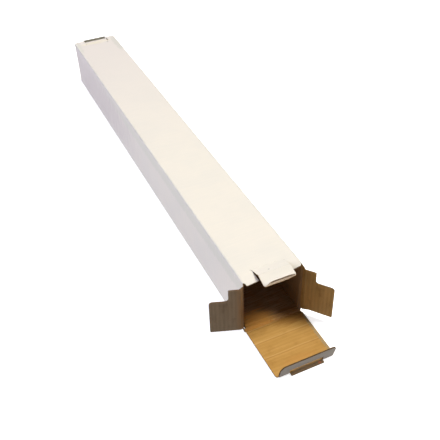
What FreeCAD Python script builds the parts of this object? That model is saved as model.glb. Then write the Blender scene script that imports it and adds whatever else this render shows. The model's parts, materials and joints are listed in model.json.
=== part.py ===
import FreeCAD, Part
import math
import os

from FreeCAD import Vector

# Long square shipping box, folded from one sheet of B-flute board and locked without glue at
# both ends. The far end is closed and locked. The near end is open: its two dust flaps are
# swung out, its end flap lies flat with the tuck lip turned up, and its lock tongue is sprung up.
#
# Frame: millimetres, +X across the box, +Y along it towards the closed end, +Z up.
# The origin is the centre of the base's underside, halfway along the outer length.

# Board and folds
board = 3.0                  # thickness of the corrugated board
fold_radius = 2.5            # outer rounding of a folded edge
layer_gap = 0.3              # air between two flaps that lie on each other
crease_gap = 0.5             # opening between the two bevels of a crease that still moves
slit_gap = 0.5               # width of a knife slit

# Tube
outer_width = 106.0
outer_height = 106.0
outer_length = 980.0         # from the open mouth to the outer face of the closed end
seam_groove = 2.5            # width of the groove beside the lap's fold, along the base
seam_depth = 1.25            # its depth
seam_round = 0.5             # rounding of its bottom
lap_height = 33.0            # glue lap, inside the left wall
lap_end_inset = 6.0          # from the mouth to the lap's foot
lap_taper = 8.0              # slant of each end of the lap

# Lock tongue, cut from the top panel by two slits
tongue_width = 56.4
tongue_centre = 0.4          # the die sits a little to the right of the box's middle
tongue_root = 21.0           # length of the slits, back from the mouth
tongue_length = 43.2         # from the slits' ends to the tip
tongue_corner = 2.0
slit_relief = 0.8            # radius of the relief hole at each slit's end
tongue_raise = 9.5           # degrees that the unlocked tongue stands above the top panel
tongue_press = 6.5           # degrees that the locked tongue's root slopes below it
tip_arch = 2.4               # rise of the upper liner where the tip has come apart
tip_sag = 2.6                # drop of the lower liner there
tip_split = 12.0             # length of tip that has come apart
upper_liner = 1.0            # thickness of the leaf above the split
lower_liner = 1.6            # thickness of the leaf below it
split_margin = 2.5           # board left whole at each end of the split
split_start = 0.4            # height of the split where it begins, at its middle
split_edge = 0.2             # height of the split along its sides
bulge_start = 0.06           # crown of each liner where the split begins
tip_clearance = 0.3          # between the hanging tip and the closed end flap

# End flap, its small tab, and the tuck lip
flap_left_inset = 1.6        # end flap's hinge end to the box's left face
flap_right_inset = 0.4       # and to its right face
flap_left_taper = 0.4        # narrowing from hinge to fold, left side
flap_right_taper = 0.2       # and right side
flap_left_round = 3.5        # rounding of the corner beside the lip, left side
flap_right_round = 1.5       # and right side
lip_drop = 1.4               # from the top panel's underside to the lip's fold
lip_length = 30.0
lip_left_inset = 3.5         # lip's end to the inside of the left wall
lip_right_inset = 0.6        # and of the right wall
lip_slant = 5.0              # slanted left corner of the lip, across
lip_slant_rise = 9.0         # and along
lip_slant_round = 3.0
lip_round = 9.0              # round right corner of the lip
lip_rest_bend = 75.0         # degrees from flat, as the open lip has sprung back
lip_closed_bend = 102.0      # and tucked in
far_lip_bend = 96.0          # the closed end's lip is pressed nearer the top panel
window_play = 0.46           # from the locked tongue's tip to the far edge of the lip's window
window_clearance = 0.8       # from the tab's edges to the window's ends
tab_reach = 5.0              # small tab beyond the fold
tab_margin = 0.7             # tab's half width more than the tongue's
tab_offset = 0.8             # tab's centre to the right of the tongue's

# Dust flaps
dust_reach = 54.2            # from the hinge to the free edge
dust_foot_left = 2.0         # flap's lower edge above the base panel, left
dust_foot_right = 7.0        # and right
shoulder_drop_left = 33.2    # from the box's top down to the low shoulder, left
shoulder_drop_right = 31.0   # and right
neck_clearance = 2.0         # from the lock tongue's edge to the neck
lip_clearance = 0.4          # from the tucked lip's underside to the neck's top
neck_slope_rise = 5.0        # sloping corner beside the hinge
neck_slope_inset = 0.7       # from the hinge to the slope's top
neck_slope_run_left = 5.4    # its run along the flap, left
neck_slope_run_right = 2.7   # and right
shoulder_round = 5.5
throat_round = 4.5
neck_round = 1.5
foot_round_left = 2.0
foot_round_right = 0.0
left_rest = 110.0            # degrees beyond straight ahead at which the open flaps stand
right_rest = 38.0

# Values that follow from those above
half_width = outer_width / 2
inner_half = half_width - board
inner_top = outer_height - board
layer = board + layer_gap
right_hinge = -layer                       # hinge lines, measured inwards from the left wall's end
flap_hinge = -2 * layer
top_front = -layer
near_mouth = -outer_length / 2
far_mouth = outer_length / 2 + flap_hinge
tongue_left = tongue_centre - tongue_width / 2
tongue_right = tongue_centre + tongue_width / 2
tongue_pivot_height = outer_height - board / 2
flap_left = -half_width + flap_left_inset
flap_right = half_width - flap_right_inset
flap_fold = inner_top - lip_drop
lip_left = -inner_half + lip_left_inset
lip_right = inner_half - lip_right_inset
left_foot = board + dust_foot_left
right_foot = board + dust_foot_right
tab_left = tongue_left + tab_offset - tab_margin
tab_right = tongue_right + tab_offset + tab_margin
hanging_face = flap_hinge + board + tip_clearance + tip_arch
lip_slope = math.radians(lip_closed_bend - 90)
window_depth = hanging_face + board + window_play + board * math.sin(lip_slope) - flap_hinge
window_height = window_depth / math.cos(lip_slope)       # along the lip from its fold
overshoot = 1.0                            # how far a cutting tool passes the faces that it cuts
span_start = -outer_width                  # an extent across the box that passes every fold

X = Vector(1, 0, 0)
Y = Vector(0, 1, 0)
Z = Vector(0, 0, 1)
span = X * (2 * outer_width)


def outline(corners, to_point):
    """Closed wire through (a, b, radius) corners, with each round corner as a tangent arc."""
    edges = []
    points = [to_point(a, b) for a, b, radius in corners]
    previous_end = None
    first_start = None
    for index, (a, b, radius) in enumerate(corners):
        corner = points[index]
        back = (points[index - 1] - corner).normalize()
        ahead = (points[(index + 1) % len(points)] - corner).normalize()
        half_angle = back.getAngle(ahead) / 2
        reach = radius / math.tan(half_angle)
        start = corner + back * reach
        end = corner + ahead * reach
        if previous_end is None:
            first_start = start
        else:
            edges.append(Part.makeLine(previous_end, start))
        if radius > 0:
            middle = corner + (back + ahead).normalize() * (radius / math.sin(half_angle) - radius)
            edges.append(Part.Arc(start, middle, end).toShape())
        previous_end = end
    edges.append(Part.makeLine(previous_end, first_start))
    return Part.Wire(edges)


def upright_sheet(corners, face_depth):
    """Board whose outline is (x, z, radius) corners, outer face at face_depth inside the mouth."""
    wire = outline(corners, lambda x, z: Vector(x, near_mouth + face_depth, z))
    return Part.Face(wire).extrude(Y * board)


def block(x_from, x_to, depth_from, depth_to, z_from, z_to):
    """Square block between two x, two depths inwards from the near mouth, and two heights."""
    corner = Vector(x_from, near_mouth + depth_from, z_from)
    return Part.makeBox(x_to - x_from, depth_to - depth_from, z_to - z_from, corner)


def crease_cutter(pivot, along, inward, extent, bend):
    """Prism that trims a sheet at a fold, so that the two sides clear each other at full bend.

    pivot is a point of the hinge line on the outer liner, along runs from it into the sheet,
    inward from the outer liner to the inner one, and extent is the length along the hinge line.
    """
    lean = math.tan(math.radians(bend / 2))
    waste = board + lean * board
    outer = pivot + along * (crease_gap / 2 - lean * overshoot) - inward * overshoot
    inner = pivot + along * (crease_gap / 2 + lean * (board + overshoot)) + inward * (board + overshoot)
    corners = [outer, inner, inner - along * waste, outer - along * waste, outer]
    return Part.Face(Part.makePolygon(corners)).extrude(extent)


def corner_cutter(edge_point, side_a, side_b, extent):
    """Prism that takes a sharp fold down to fold_radius; the sides point into the sheets."""
    touch_a = edge_point + side_a * fold_radius
    touch_b = edge_point + side_b * fold_radius
    outside = edge_point - (side_a + side_b) * overshoot
    centre = touch_a + side_b * fold_radius
    middle = centre + (edge_point - centre).normalize() * fold_radius
    edges = [
        Part.Arc(touch_a, middle, touch_b).toShape(),
        Part.makeLine(touch_b, outside),
        Part.makeLine(outside, touch_a),
    ]
    return Part.Face(Part.Wire(edges)).extrude(extent)


def turned(shape, pivot, axis, degrees):
    """Copy of the shape turned by the right-hand rule about an axis through pivot."""
    copy = shape.copy()
    copy.rotate(pivot, axis, degrees)
    return copy


def lip_underside(depth):
    """Height of the tucked lip's underside at a depth inside the mouth."""
    return flap_fold - (depth - flap_hinge) * math.tan(lip_slope) - board / math.cos(lip_slope)


def dust_flap(face_depth, foot, shoulder, neck_reach, slope_run, foot_round):
    """Closed dust flap hinged on the left wall, with the tongue's step cut out of its top."""
    neck_top = lip_underside(face_depth + board) - lip_clearance
    slope_start = neck_slope_inset + slope_run
    root = -half_width
    corners = [
        (root, foot, 0),
        (root + dust_reach, foot, foot_round),
        (root + dust_reach, shoulder, shoulder_round),
        (root + neck_reach, shoulder, throat_round),
        (root + neck_reach, neck_top, neck_round),
        (root + slope_start, neck_top, 0),
        (root + neck_slope_inset, neck_top + neck_slope_rise, 0),
        (root, neck_top + neck_slope_rise, 0),
    ]
    return upright_sheet(corners, face_depth)


def left_dust_flap():
    """Left dust flap as it lies when closed."""
    neck_reach = tongue_left - neck_clearance + half_width
    shoulder = outer_height - shoulder_drop_left
    return dust_flap(0, left_foot, shoulder, neck_reach, neck_slope_run_left, foot_round_left)


def right_dust_flap():
    """Right dust flap as it lies when closed, one layer outside the left one."""
    neck_reach = half_width - tongue_right - neck_clearance
    shoulder = outer_height - shoulder_drop_right
    flap = dust_flap(
        right_hinge, right_foot, shoulder, neck_reach, neck_slope_run_right, foot_round_right
    )
    return flap.mirror(Vector(0, 0, 0), X)


def end_panel():
    """Upright end flap with its small tab, which stays in line when the lip folds."""
    fold_left = flap_left + flap_left_taper
    fold_right = flap_right - flap_right_taper
    corners = [
        (flap_left, 0, 0),
        (flap_right, 0, 0),
        (fold_right, flap_fold, flap_right_round),
        (tab_right, flap_fold, 0),
        (tab_right, flap_fold + tab_reach, 0),
        (tab_left, flap_fold + tab_reach, 0),
        (tab_left, flap_fold, 0),
        (fold_left, flap_fold, flap_left_round),
    ]
    return upright_sheet(corners, flap_hinge)


def flat_lip():
    """Tuck lip before it is folded, in line with the closed end flap, with the lock window."""
    top = flap_fold + lip_length
    corners = [
        (lip_left, flap_fold, 0),
        (lip_right, flap_fold, 0),
        (lip_right, top, lip_round),
        (lip_left + lip_slant, top, lip_slant_round),
        (lip_left, top - lip_slant_rise, lip_slant_round),
    ]
    window = block(
        tab_left - window_clearance, tab_right + window_clearance,
        flap_hinge - overshoot, flap_hinge + board + overshoot,
        flap_fold - overshoot, flap_fold + window_height,
    )
    return upright_sheet(corners, flap_hinge).cut(window)


def lip_pivot():
    """Point of the lip's fold line, on the outer liner of the closed end flap."""
    return Vector(0, near_mouth + flap_hinge, flap_fold)


def tongue_pivot():
    """Point of the line between the slits' ends, at mid board, where the tongue flexes."""
    return Vector(tongue_centre, near_mouth + tongue_root, tongue_pivot_height)


def tongue_crease_reach():
    """Distance from the slits' ends to the tongue's crease.

    It is such that the tip hangs at hanging_face when the root is pressed and the tip upright.
    """
    press = math.radians(tongue_press)
    return (tongue_root - hanging_face - board / 2 * math.sin(press)) / math.cos(press)


def tongue_crease_pivot():
    """Point of the tongue's crease on the upper liner, with the tongue level."""
    return Vector(tongue_centre, near_mouth + tongue_root - tongue_crease_reach(), outer_height)


def level_tongue_root():
    """Tongue between the slits' ends and its crease, level with the top panel."""
    crease_depth = tongue_root - tongue_crease_reach()
    return block(
        tongue_left, tongue_right, crease_depth, tongue_root - crease_gap / 2, inner_top, outer_height
    )


def split_section(depth, half, low, middle_low, middle_high, high):
    """Cross-section of the tongue: two short sides joined by an arc above and an arc below."""
    y = near_mouth + depth
    left_low = Vector(tongue_centre - half, y, low)
    right_low = Vector(tongue_centre + half, y, low)
    left_high = Vector(tongue_centre - half, y, high)
    right_high = Vector(tongue_centre + half, y, high)
    edges = [
        Part.Arc(left_high, Vector(tongue_centre, y, middle_high), right_high).toShape(),
        Part.makeLine(right_high, right_low),
        Part.Arc(right_low, Vector(tongue_centre, y, middle_low), left_low).toShape(),
        Part.makeLine(left_low, left_high),
    ]
    return Part.Wire(edges)


def level_tongue_tip():
    """Tongue beyond its crease, level, with the liners of its tip sprung apart like two lips."""
    crease_depth = tongue_root - tongue_crease_reach()
    tip_depth = tongue_root - tongue_length
    split_depth = tip_depth + tip_split
    half = tongue_width / 2
    body = block(tongue_left, tongue_right, split_depth, crease_depth, inner_top, outer_height)
    sections = []
    for share in (0.0, 0.5, 1.0):
        grown = share * share
        sections.append(split_section(
            split_depth - share * tip_split, half,
            inner_top, inner_top - bulge_start - grown * (tip_sag - bulge_start),
            outer_height + bulge_start + grown * (tip_arch - bulge_start), outer_height,
        ))
    jaws = Part.makeLoft(sections, True)
    throat_half = half - split_margin
    middle = (inner_top + outer_height) / 2
    low_edge = middle - split_edge / 2
    high_edge = middle + split_edge / 2
    start = split_section(
        split_depth - overshoot, throat_half, low_edge, middle - split_start / 2,
        middle + split_start / 2, high_edge,
    )
    opened = split_section(
        tip_depth, throat_half, low_edge, inner_top - tip_sag + lower_liner,
        outer_height + tip_arch - upper_liner, high_edge,
    )
    split = Part.makeLoft([start, opened], True)
    plan = outline(
        [
            (tongue_left, crease_depth, 0),
            (tongue_left, tip_depth, tongue_corner),
            (tongue_right, tip_depth, tongue_corner),
            (tongue_right, crease_depth, 0),
        ],
        lambda x, depth: Vector(x, near_mouth + depth, inner_top - tip_sag - overshoot),
    )
    trim = Part.Face(plan).extrude(Z * (board + tip_sag + tip_arch + 2 * overshoot))
    return body.fuse(jaws).cut(split).common(trim)


def tongue_opening():
    """Opening of the tongue and its slits in the top panel, with a relief hole at each slit's end."""
    opening = block(
        tongue_left - slit_gap, tongue_right + slit_gap,
        top_front - overshoot, tongue_root + crease_gap / 2,
        inner_top - overshoot, outer_height + overshoot,
    )
    for x in (tongue_left - slit_gap / 2, tongue_right + slit_gap / 2):
        foot = Vector(x, near_mouth + tongue_root, inner_top - overshoot)
        opening = opening.fuse(Part.makeCylinder(slit_relief, board + 2 * overshoot, foot))
    return opening


def locked_tongue():
    """Tongue of the closed end: its root slopes down and its tip hangs through the lip's window."""
    root = block(
        tongue_left, tongue_right, tongue_root - tongue_crease_reach(), tongue_root + overshoot,
        inner_top, outer_height,
    )
    root = turned(root, tongue_pivot(), X, tongue_press)
    crease = Part.Vertex(tongue_crease_pivot())
    crease = turned(crease, tongue_pivot(), X, tongue_press).Point
    tip_drop = tongue_length - tongue_crease_reach()
    tip = block(
        tongue_left, tongue_right, crease.y - near_mouth, crease.y - near_mouth + board,
        crease.z - tip_drop, crease.z,
    )
    tongue = root.fuse(tip)
    edge = Vector(tongue_left - overshoot, crease.y, crease.z)
    inward = Vector(0, math.cos(math.radians(tongue_press)), math.sin(math.radians(tongue_press)))
    return tongue.cut(corner_cutter(edge, inward, Z * -1, X * (tongue_width + 2 * overshoot)))


def base_edge():
    """Front strip of the base, which carries the end flap's hinge."""
    return block(flap_left, flap_right, flap_hinge, overshoot, 0, board)


def right_edge():
    """Front strip of the right wall, which carries the outer dust flap's hinge."""
    return block(
        inner_half, half_width, right_hinge, overshoot, right_foot, inner_top - layer_gap
    )


def closed_end():
    """All flaps of an end that is closed and locked, in the near end's place, folds and all."""
    left = left_dust_flap()
    right = right_dust_flap()
    panel = end_panel()
    lip = turned(flat_lip(), lip_pivot(), X, -far_lip_bend)
    hinge_y = near_mouth + flap_hinge
    foot_cutter = corner_cutter(Vector(span_start, hinge_y, 0), Y, Z, span)
    head_cutter = corner_cutter(Vector(span_start, hinge_y, flap_fold), Y, Z * -1, span)
    tab_keeper = block(
        tab_left, tab_right, flap_hinge - overshoot, flap_hinge + fold_radius + overshoot,
        flap_fold - fold_radius - overshoot, flap_fold + tab_reach,
    )
    panel = panel.fuse([base_edge(), lip]).cut(foot_cutter).cut(head_cutter.cut(tab_keeper))
    wall_height = Z * outer_height
    left = left.cut(corner_cutter(Vector(-half_width, near_mouth, 0), X, Y, wall_height))
    right_corner = Vector(half_width, near_mouth + right_hinge, 0)
    right = right.fuse(right_edge()).cut(corner_cutter(right_corner, X * -1, Y, wall_height))
    return [left, right, panel, top_front_edge()]


def top_front_edge():
    """Front strip of the top panel, with the angled notch at each end."""
    corners = [
        (-half_width + fold_radius, overshoot, 0),
        (-half_width + fold_radius, 0, 0),
        (-half_width + fold_radius + layer, top_front, 0),
        (half_width - fold_radius - layer, top_front, 0),
        (half_width - fold_radius, 0, 0),
        (half_width - fold_radius, overshoot, 0),
    ]
    wire = outline(corners, lambda x, depth: Vector(x, near_mouth + depth, inner_top))
    return Part.Face(wire).extrude(Z * board)


def tube():
    """Four walls between the two mouths, with the seam at the lower left and the glue lap inside."""
    length = far_mouth - near_mouth
    skin = outline(
        [
            (-half_width, 0, 0),
            (-half_width, outer_height, fold_radius),
            (half_width, outer_height, fold_radius),
            (half_width, 0, fold_radius),
        ],
        lambda x, z: Vector(x, near_mouth, z),
    )
    hollow = block(-inner_half, inner_half, -overshoot, length + overshoot, board, inner_top)
    groove = outline(
        [
            (-inner_half, -overshoot, 0),
            (-inner_half, seam_depth, seam_round),
            (-inner_half + seam_groove, 0, 0),
            (-inner_half + seam_groove, -overshoot, 0),
        ],
        lambda x, z: Vector(x, near_mouth, z),
    )
    groove = Part.Face(groove).extrude(Y * length)
    lap = outline(
        [
            (lap_end_inset, board - overshoot, 0),
            (lap_end_inset + lap_taper, lap_height, 0),
            (length - lap_end_inset - lap_taper, lap_height, 0),
            (length - lap_end_inset, board - overshoot, 0),
        ],
        lambda depth, z: Vector(-inner_half, near_mouth + depth, z),
    )
    lap = Part.Face(lap).extrude(X * board)
    return Part.Face(skin).extrude(Y * length).cut(hollow).cut(groove).fuse(lap)


def carton_body():
    """Tube, the open mouth's wall edges with their creases, and the locked far end, as one sheet."""
    mirror_plane = Vector(0, (near_mouth + far_mouth) / 2, 0)
    body = tube().fuse([base_edge(), right_edge(), top_front_edge()])
    body = body.cut(tongue_opening())
    body = body.fuse([piece.mirror(mirror_plane, Y) for piece in closed_end()])
    body = body.cut(tongue_opening().mirror(mirror_plane, Y))
    body = body.fuse(locked_tongue().mirror(mirror_plane, Y))
    wall_span = Z * (inner_top - board)
    left_pivot = Vector(-half_width, near_mouth, board)
    right_pivot = Vector(half_width, near_mouth + right_hinge, board)
    flap_pivot = Vector(span_start, near_mouth + flap_hinge, 0)
    body = body.cut(crease_cutter(left_pivot, Y, X, wall_span, 90))
    body = body.cut(crease_cutter(right_pivot, Y, X * -1, wall_span, 90))
    body = body.cut(crease_cutter(flap_pivot, Y, Z, span, 90))
    return body.removeSplitter()


def open_left_dust_flap():
    """Left dust flap with its bevelled root, swung out past the wall's line."""
    pivot = Vector(-half_width, near_mouth, 0)
    root = crease_cutter(pivot, X, Y, Z * outer_height, 90)
    return turned(left_dust_flap().cut(root), pivot, Z, -(90 + left_rest))


def open_right_dust_flap():
    """Right dust flap with its bevelled root, standing part way out."""
    pivot = Vector(half_width, near_mouth + right_hinge, 0)
    root = crease_cutter(pivot, X * -1, Y, Z * outer_height, 90)
    return turned(right_dust_flap().cut(root), pivot, Z, 90 + right_rest)


def open_end_flap():
    """End flap laid flat in front of the mouth, bevelled at its hinge and at the lip's fold."""
    pivot = Vector(span_start, near_mouth + flap_hinge, 0)
    root = crease_cutter(pivot, Z, Y, span, 90)
    fold = crease_cutter(pivot + Z * flap_fold, Z * -1, Y, span, lip_closed_bend)
    tab_keeper = block(
        tab_left, tab_right, flap_hinge - overshoot, flap_hinge + board + overshoot,
        0, flap_fold + tab_reach + overshoot,
    )
    panel = end_panel().cut(root).cut(fold.cut(tab_keeper))
    return turned(panel, pivot, X, 90)


def open_tuck_lip():
    """Tuck lip turned up from the open end flap, as far as it has sprung back."""
    flap_pivot = Vector(0, near_mouth + flap_hinge, 0)
    fold_pivot = lip_pivot() + X * span_start
    root = crease_cutter(fold_pivot, Z, Y, span, lip_closed_bend)
    lip = turned(flat_lip().cut(root), fold_pivot, X, -lip_rest_bend)
    return turned(lip, flap_pivot, X, 90)


def tongue_crease_cutter(along):
    """Bevel of the tongue's crease, on the side that along points to."""
    pivot = tongue_crease_pivot() + X * span_start
    return crease_cutter(pivot, along, Z * -1, span, 90 - tongue_press)


def raised_tongue_root():
    """Root of the unlocked tongue, sprung up from the top panel."""
    root = level_tongue_root().cut(tongue_crease_cutter(Y))
    return turned(root, tongue_pivot(), X, -tongue_raise)


def raised_tongue_tip():
    """Tip of the unlocked tongue, in line with its root."""
    tip = level_tongue_tip().cut(tongue_crease_cutter(Y * -1))
    return turned(tip, tongue_pivot(), X, -tongue_raise)


def report_joints():
    """Print the hinge lines and the size of each node, in millimetres."""
    raised_crease = turned(Part.Vertex(tongue_crease_pivot()), tongue_pivot(), X, -tongue_raise).Point
    opened_fold = turned(Part.Vertex(lip_pivot()), Vector(0, near_mouth + flap_hinge, 0), X, 90).Point
    print("left dust flap hinge", -half_width, near_mouth)
    print("right dust flap hinge", half_width, near_mouth + right_hinge)
    print("end flap hinge", near_mouth + flap_hinge, 0.0)
    print("tuck lip fold", tuple(opened_fold))
    print("tongue root", tuple(tongue_pivot()))
    print("tongue crease", tuple(raised_crease))


nodes = {
    "carton_body": carton_body,
    "left_dust_flap": open_left_dust_flap,
    "right_dust_flap": open_right_dust_flap,
    "end_flap": open_end_flap,
    "tuck_lip": open_tuck_lip,
    "lock_tongue_root": raised_tongue_root,
    "lock_tongue_tip": raised_tongue_tip,
}

os.makedirs("parts", exist_ok=True)
for name, make in nodes.items():
    shape = make()
    solids = len(shape.Solids)
    print(name, "solids", solids, "valid", shape.isValid(), "volume", round(shape.Volume, 1))
    shape.exportStep("parts/" + name + ".step")
report_joints()
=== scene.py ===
import cmath
import json
import logging
import math
from collections.abc import Callable, Sequence
from dataclasses import dataclass, field
from enum import Enum

import bmesh
import bpy
import numpy as np
from mathutils import Matrix, Vector
from mathutils.geometry import delaunay_2d_cdt


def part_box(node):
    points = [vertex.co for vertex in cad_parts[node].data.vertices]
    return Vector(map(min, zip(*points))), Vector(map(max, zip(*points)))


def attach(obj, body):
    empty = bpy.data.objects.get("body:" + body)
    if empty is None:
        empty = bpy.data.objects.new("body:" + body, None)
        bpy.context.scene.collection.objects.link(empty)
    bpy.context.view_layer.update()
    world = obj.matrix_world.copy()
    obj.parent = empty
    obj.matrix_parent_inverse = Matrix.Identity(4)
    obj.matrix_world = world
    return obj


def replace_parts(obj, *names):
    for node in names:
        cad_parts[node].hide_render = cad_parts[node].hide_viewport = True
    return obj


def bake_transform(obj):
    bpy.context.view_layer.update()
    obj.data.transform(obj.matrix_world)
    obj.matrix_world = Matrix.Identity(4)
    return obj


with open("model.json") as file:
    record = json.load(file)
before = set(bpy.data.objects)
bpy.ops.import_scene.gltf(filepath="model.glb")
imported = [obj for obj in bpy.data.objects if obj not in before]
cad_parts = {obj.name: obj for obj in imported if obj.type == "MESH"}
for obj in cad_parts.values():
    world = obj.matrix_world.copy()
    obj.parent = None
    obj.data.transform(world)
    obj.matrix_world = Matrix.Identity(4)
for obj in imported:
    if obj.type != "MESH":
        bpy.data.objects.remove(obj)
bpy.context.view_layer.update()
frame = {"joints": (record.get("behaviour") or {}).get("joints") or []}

MM = 0.001
BOARD_ATTRIBUTE = "board"
X = Vector((1.0, 0.0, 0.0))
Y = Vector((0.0, 1.0, 0.0))
Z = Vector((0.0, 0.0, 1.0))

Corner = tuple[float, float, float]
Place = Callable[[float, float, float], Vector]
Level = Callable[[float, float], float]
Colour = tuple[float, float, float]
Seam = tuple[float, float, float, float]
Grain = Callable[[float, float], tuple[float, float]]

log = logging.getLogger("carton")


class Slot(Enum):
    """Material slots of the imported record."""

    WHITE_LINED = "white_lined_board"
    FLAP = "flap_board"


class Face(Enum):
    """Faces of a piece of board, as indexes into its materials."""

    OUTER = 0
    INNER = 1
    CUT = 2


def smooth(value: float, low: float, high: float) -> float:
    """Rise from 0 at low to 1 at high with level ends."""
    share = min(max((value - low) / (high - low), 0.0), 1.0)
    return share * share * (3.0 - 2.0 * share)


def bell(value: float, centre: float, width: float) -> float:
    """Bump of height 1 at centre that has fallen to 0.37 at one width away."""
    return math.exp(-(((value - centre) / width) ** 2))


def joint_place(name: str) -> Vector:
    """Point on the axis of a packed joint, in millimetres."""
    joint = next(j for j in frame["joints"] if j["name"] == name)
    return Vector(joint["pos_m"]) / MM


def in_scene(name: str, data: bpy.types.ID) -> bpy.types.Object:
    """Object made from data and linked to the scene."""
    made = bpy.data.objects.new(name, data)
    bpy.context.scene.collection.objects.link(made)
    return made


# ---------------------------------------------------------------- shader maths


class Wire:
    """Number that leaves a node's socket; Python's operators add the Math nodes."""

    def __init__(self, graph: "Graph", socket: bpy.types.NodeSocket) -> None:
        """Keep the socket and the graph that it belongs to."""
        self.graph = graph
        self.socket = socket

    def _math(self, operation: str, *values: "Wire | float") -> "Wire":
        """Add one Math node that works on the values."""
        return self.graph.add("ShaderNodeMath", {"operation": operation}, dict(enumerate(values)))

    def __add__(self, other: "Wire | float") -> "Wire":
        """Sum."""
        return self._math("ADD", self, other)

    def __sub__(self, other: "Wire | float") -> "Wire":
        """Difference."""
        return self._math("SUBTRACT", self, other)

    def __rsub__(self, other: float) -> "Wire":
        """Difference from a number."""
        return self._math("SUBTRACT", other, self)

    def __mul__(self, other: "Wire | float") -> "Wire":
        """Product."""
        return self._math("MULTIPLY", self, other)

    def __truediv__(self, other: "Wire | float") -> "Wire":
        """Quotient."""
        return self._math("DIVIDE", self, other)

    def __rtruediv__(self, other: float) -> "Wire":
        """Quotient of a number and this value."""
        return self._math("DIVIDE", other, self)

    __radd__ = __add__
    __rmul__ = __mul__

    def __abs__(self) -> "Wire":
        """Size without sign."""
        return self._math("ABSOLUTE", self)

    def sine(self) -> "Wire":
        """Sine of an angle in radians."""
        return self._math("SINE", self)

    def rise(self, low: float, high: float) -> "Wire":
        """Smooth step from 0 at low to 1 at high, or from 1 to 0 where low is the higher."""
        settings = {"interpolation_type": "SMOOTHSTEP"}
        return self.graph.add(
            "ShaderNodeMapRange", settings,
            {"Value": self, "From Min": low, "From Max": high, "To Min": 0.0, "To Max": 1.0},
        )


class Tint(Wire):
    """Colour or vector that leaves a node's socket; its product is a Vector Math node."""

    def __mul__(self, other: "Wire | Colour") -> "Tint":
        """Product taken channel by channel."""
        return self.graph.add(
            "ShaderNodeVectorMath", {"operation": "MULTIPLY"}, {0: self, 1: other}, kind=Tint
        )

    __rmul__ = __mul__

    def toward(self, other: "Tint | Colour", share: "Wire | float") -> "Tint":
        """Mix of this colour and another, by the other's share."""
        return self.graph.mix(share, self, other)

    def part(self, index: int) -> Wire:
        """One of the three numbers."""
        return self.graph.add("ShaderNodeSeparateXYZ", {}, {0: self}, output=index)


class Graph:
    """Node tree under construction."""

    def __init__(self, tree: bpy.types.NodeTree) -> None:
        """Keep the tree's nodes and links."""
        self.nodes = tree.nodes
        self.links = tree.links

    def feed(self, socket: bpy.types.NodeSocket, value: object) -> None:
        """Link a wire to a socket, or set the socket's own value."""
        if isinstance(value, Wire):
            self.links.new(value.socket, socket)
        elif isinstance(value, tuple) and socket.type == "RGBA":
            socket.default_value = (*value, 1.0)
        else:
            socket.default_value = value

    def add(
        self, node_type: str, settings: dict[str, object], inputs: dict[int | str, object],
        output: int | str = 0, kind: type[Wire] = Wire,
    ) -> Wire:
        """Add a node.

        Args:
            node_type: Blender's identifier of the node.
            settings: properties of the node, set before its sockets are.
            inputs: a value or a wire for each socket, by name or index.
            output: the output socket to read.
            kind: Tint where the output is a colour or a vector.

        Returns:
            The output as a wire.
        """
        node = self.nodes.new(node_type)
        for name, value in settings.items():
            setattr(node, name, value)
        for name, value in inputs.items():
            self.feed(node.inputs[name], value)
        return kind(self, node.outputs[output])

    def mix(self, share: "Wire | float", first: object, second: object) -> Tint:
        """Colour between first and second, by the second's share."""
        settings = {"data_type": "RGBA", "blend_type": "MIX"}
        return self.add("ShaderNodeMix", settings, {0: share, 6: first, 7: second}, 2, Tint)


class Shader(Graph):
    """Material under construction."""

    def __init__(self, name: str) -> None:
        """Start a material that holds only its principled shader and its output."""
        self.material = bpy.data.materials.new(name)
        self.material.use_nodes = True
        super().__init__(self.material.node_tree)
        self.surface = next(n for n in self.nodes if n.type == "BSDF_PRINCIPLED")

    def board_place(self) -> Tint:
        """Place on the board in millimetres: along the flutes, across them, and through it."""
        settings = {"attribute_type": "GEOMETRY", "attribute_name": BOARD_ATTRIBUTE}
        return self.add("ShaderNodeAttribute", settings, {}, "Vector", Tint)

    def flutes(self, place: Tint, pitch: float) -> Wire:
        """Wave between 0 and 1 that repeats with the flutes' pitch."""
        return (place.part(1) * (2.0 * math.pi / pitch)).sine() * 0.5 + 0.5

    def noise(self, place: Tint, stretch: Colour, detail: float, rough: float = 0.55) -> Wire:
        """Noise between about 0.2 and 0.8 over a stretched place.

        Args:
            place: the point that the noise is read at.
            stretch: how many times each axis is repeated for each millimetre.
            detail: octaves.
            rough: strength of the finer octaves.

        Returns:
            The noise's value.
        """
        inputs = {"Vector": place * stretch, "Scale": 1.0, "Detail": detail, "Roughness": rough}
        return self.add("ShaderNodeTexNoise", {"noise_dimensions": "3D"}, inputs, 0)

    def finish(
        self, colour: Tint, roughness: "Wire | float", height: Wire, depth: float
    ) -> bpy.types.Material:
        """Feed the principled shader.

        Args:
            colour: base colour.
            roughness: roughness, as a wire or a number.
            height: relief between 0 and 1.
            depth: what a height of 1 stands for, in millimetres.

        Returns:
            The finished material.
        """
        self.feed(self.surface.inputs["Base Color"], colour)
        self.feed(self.surface.inputs["Roughness"], roughness)
        self.surface.inputs["Specular IOR Level"].default_value = 0.25
        bump = self.add(
            "ShaderNodeBump", {}, {"Height": height, "Strength": 1.0, "Distance": depth * MM}, 0, Tint
        )
        self.feed(self.surface.inputs["Normal"], bump)
        return self.material


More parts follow.
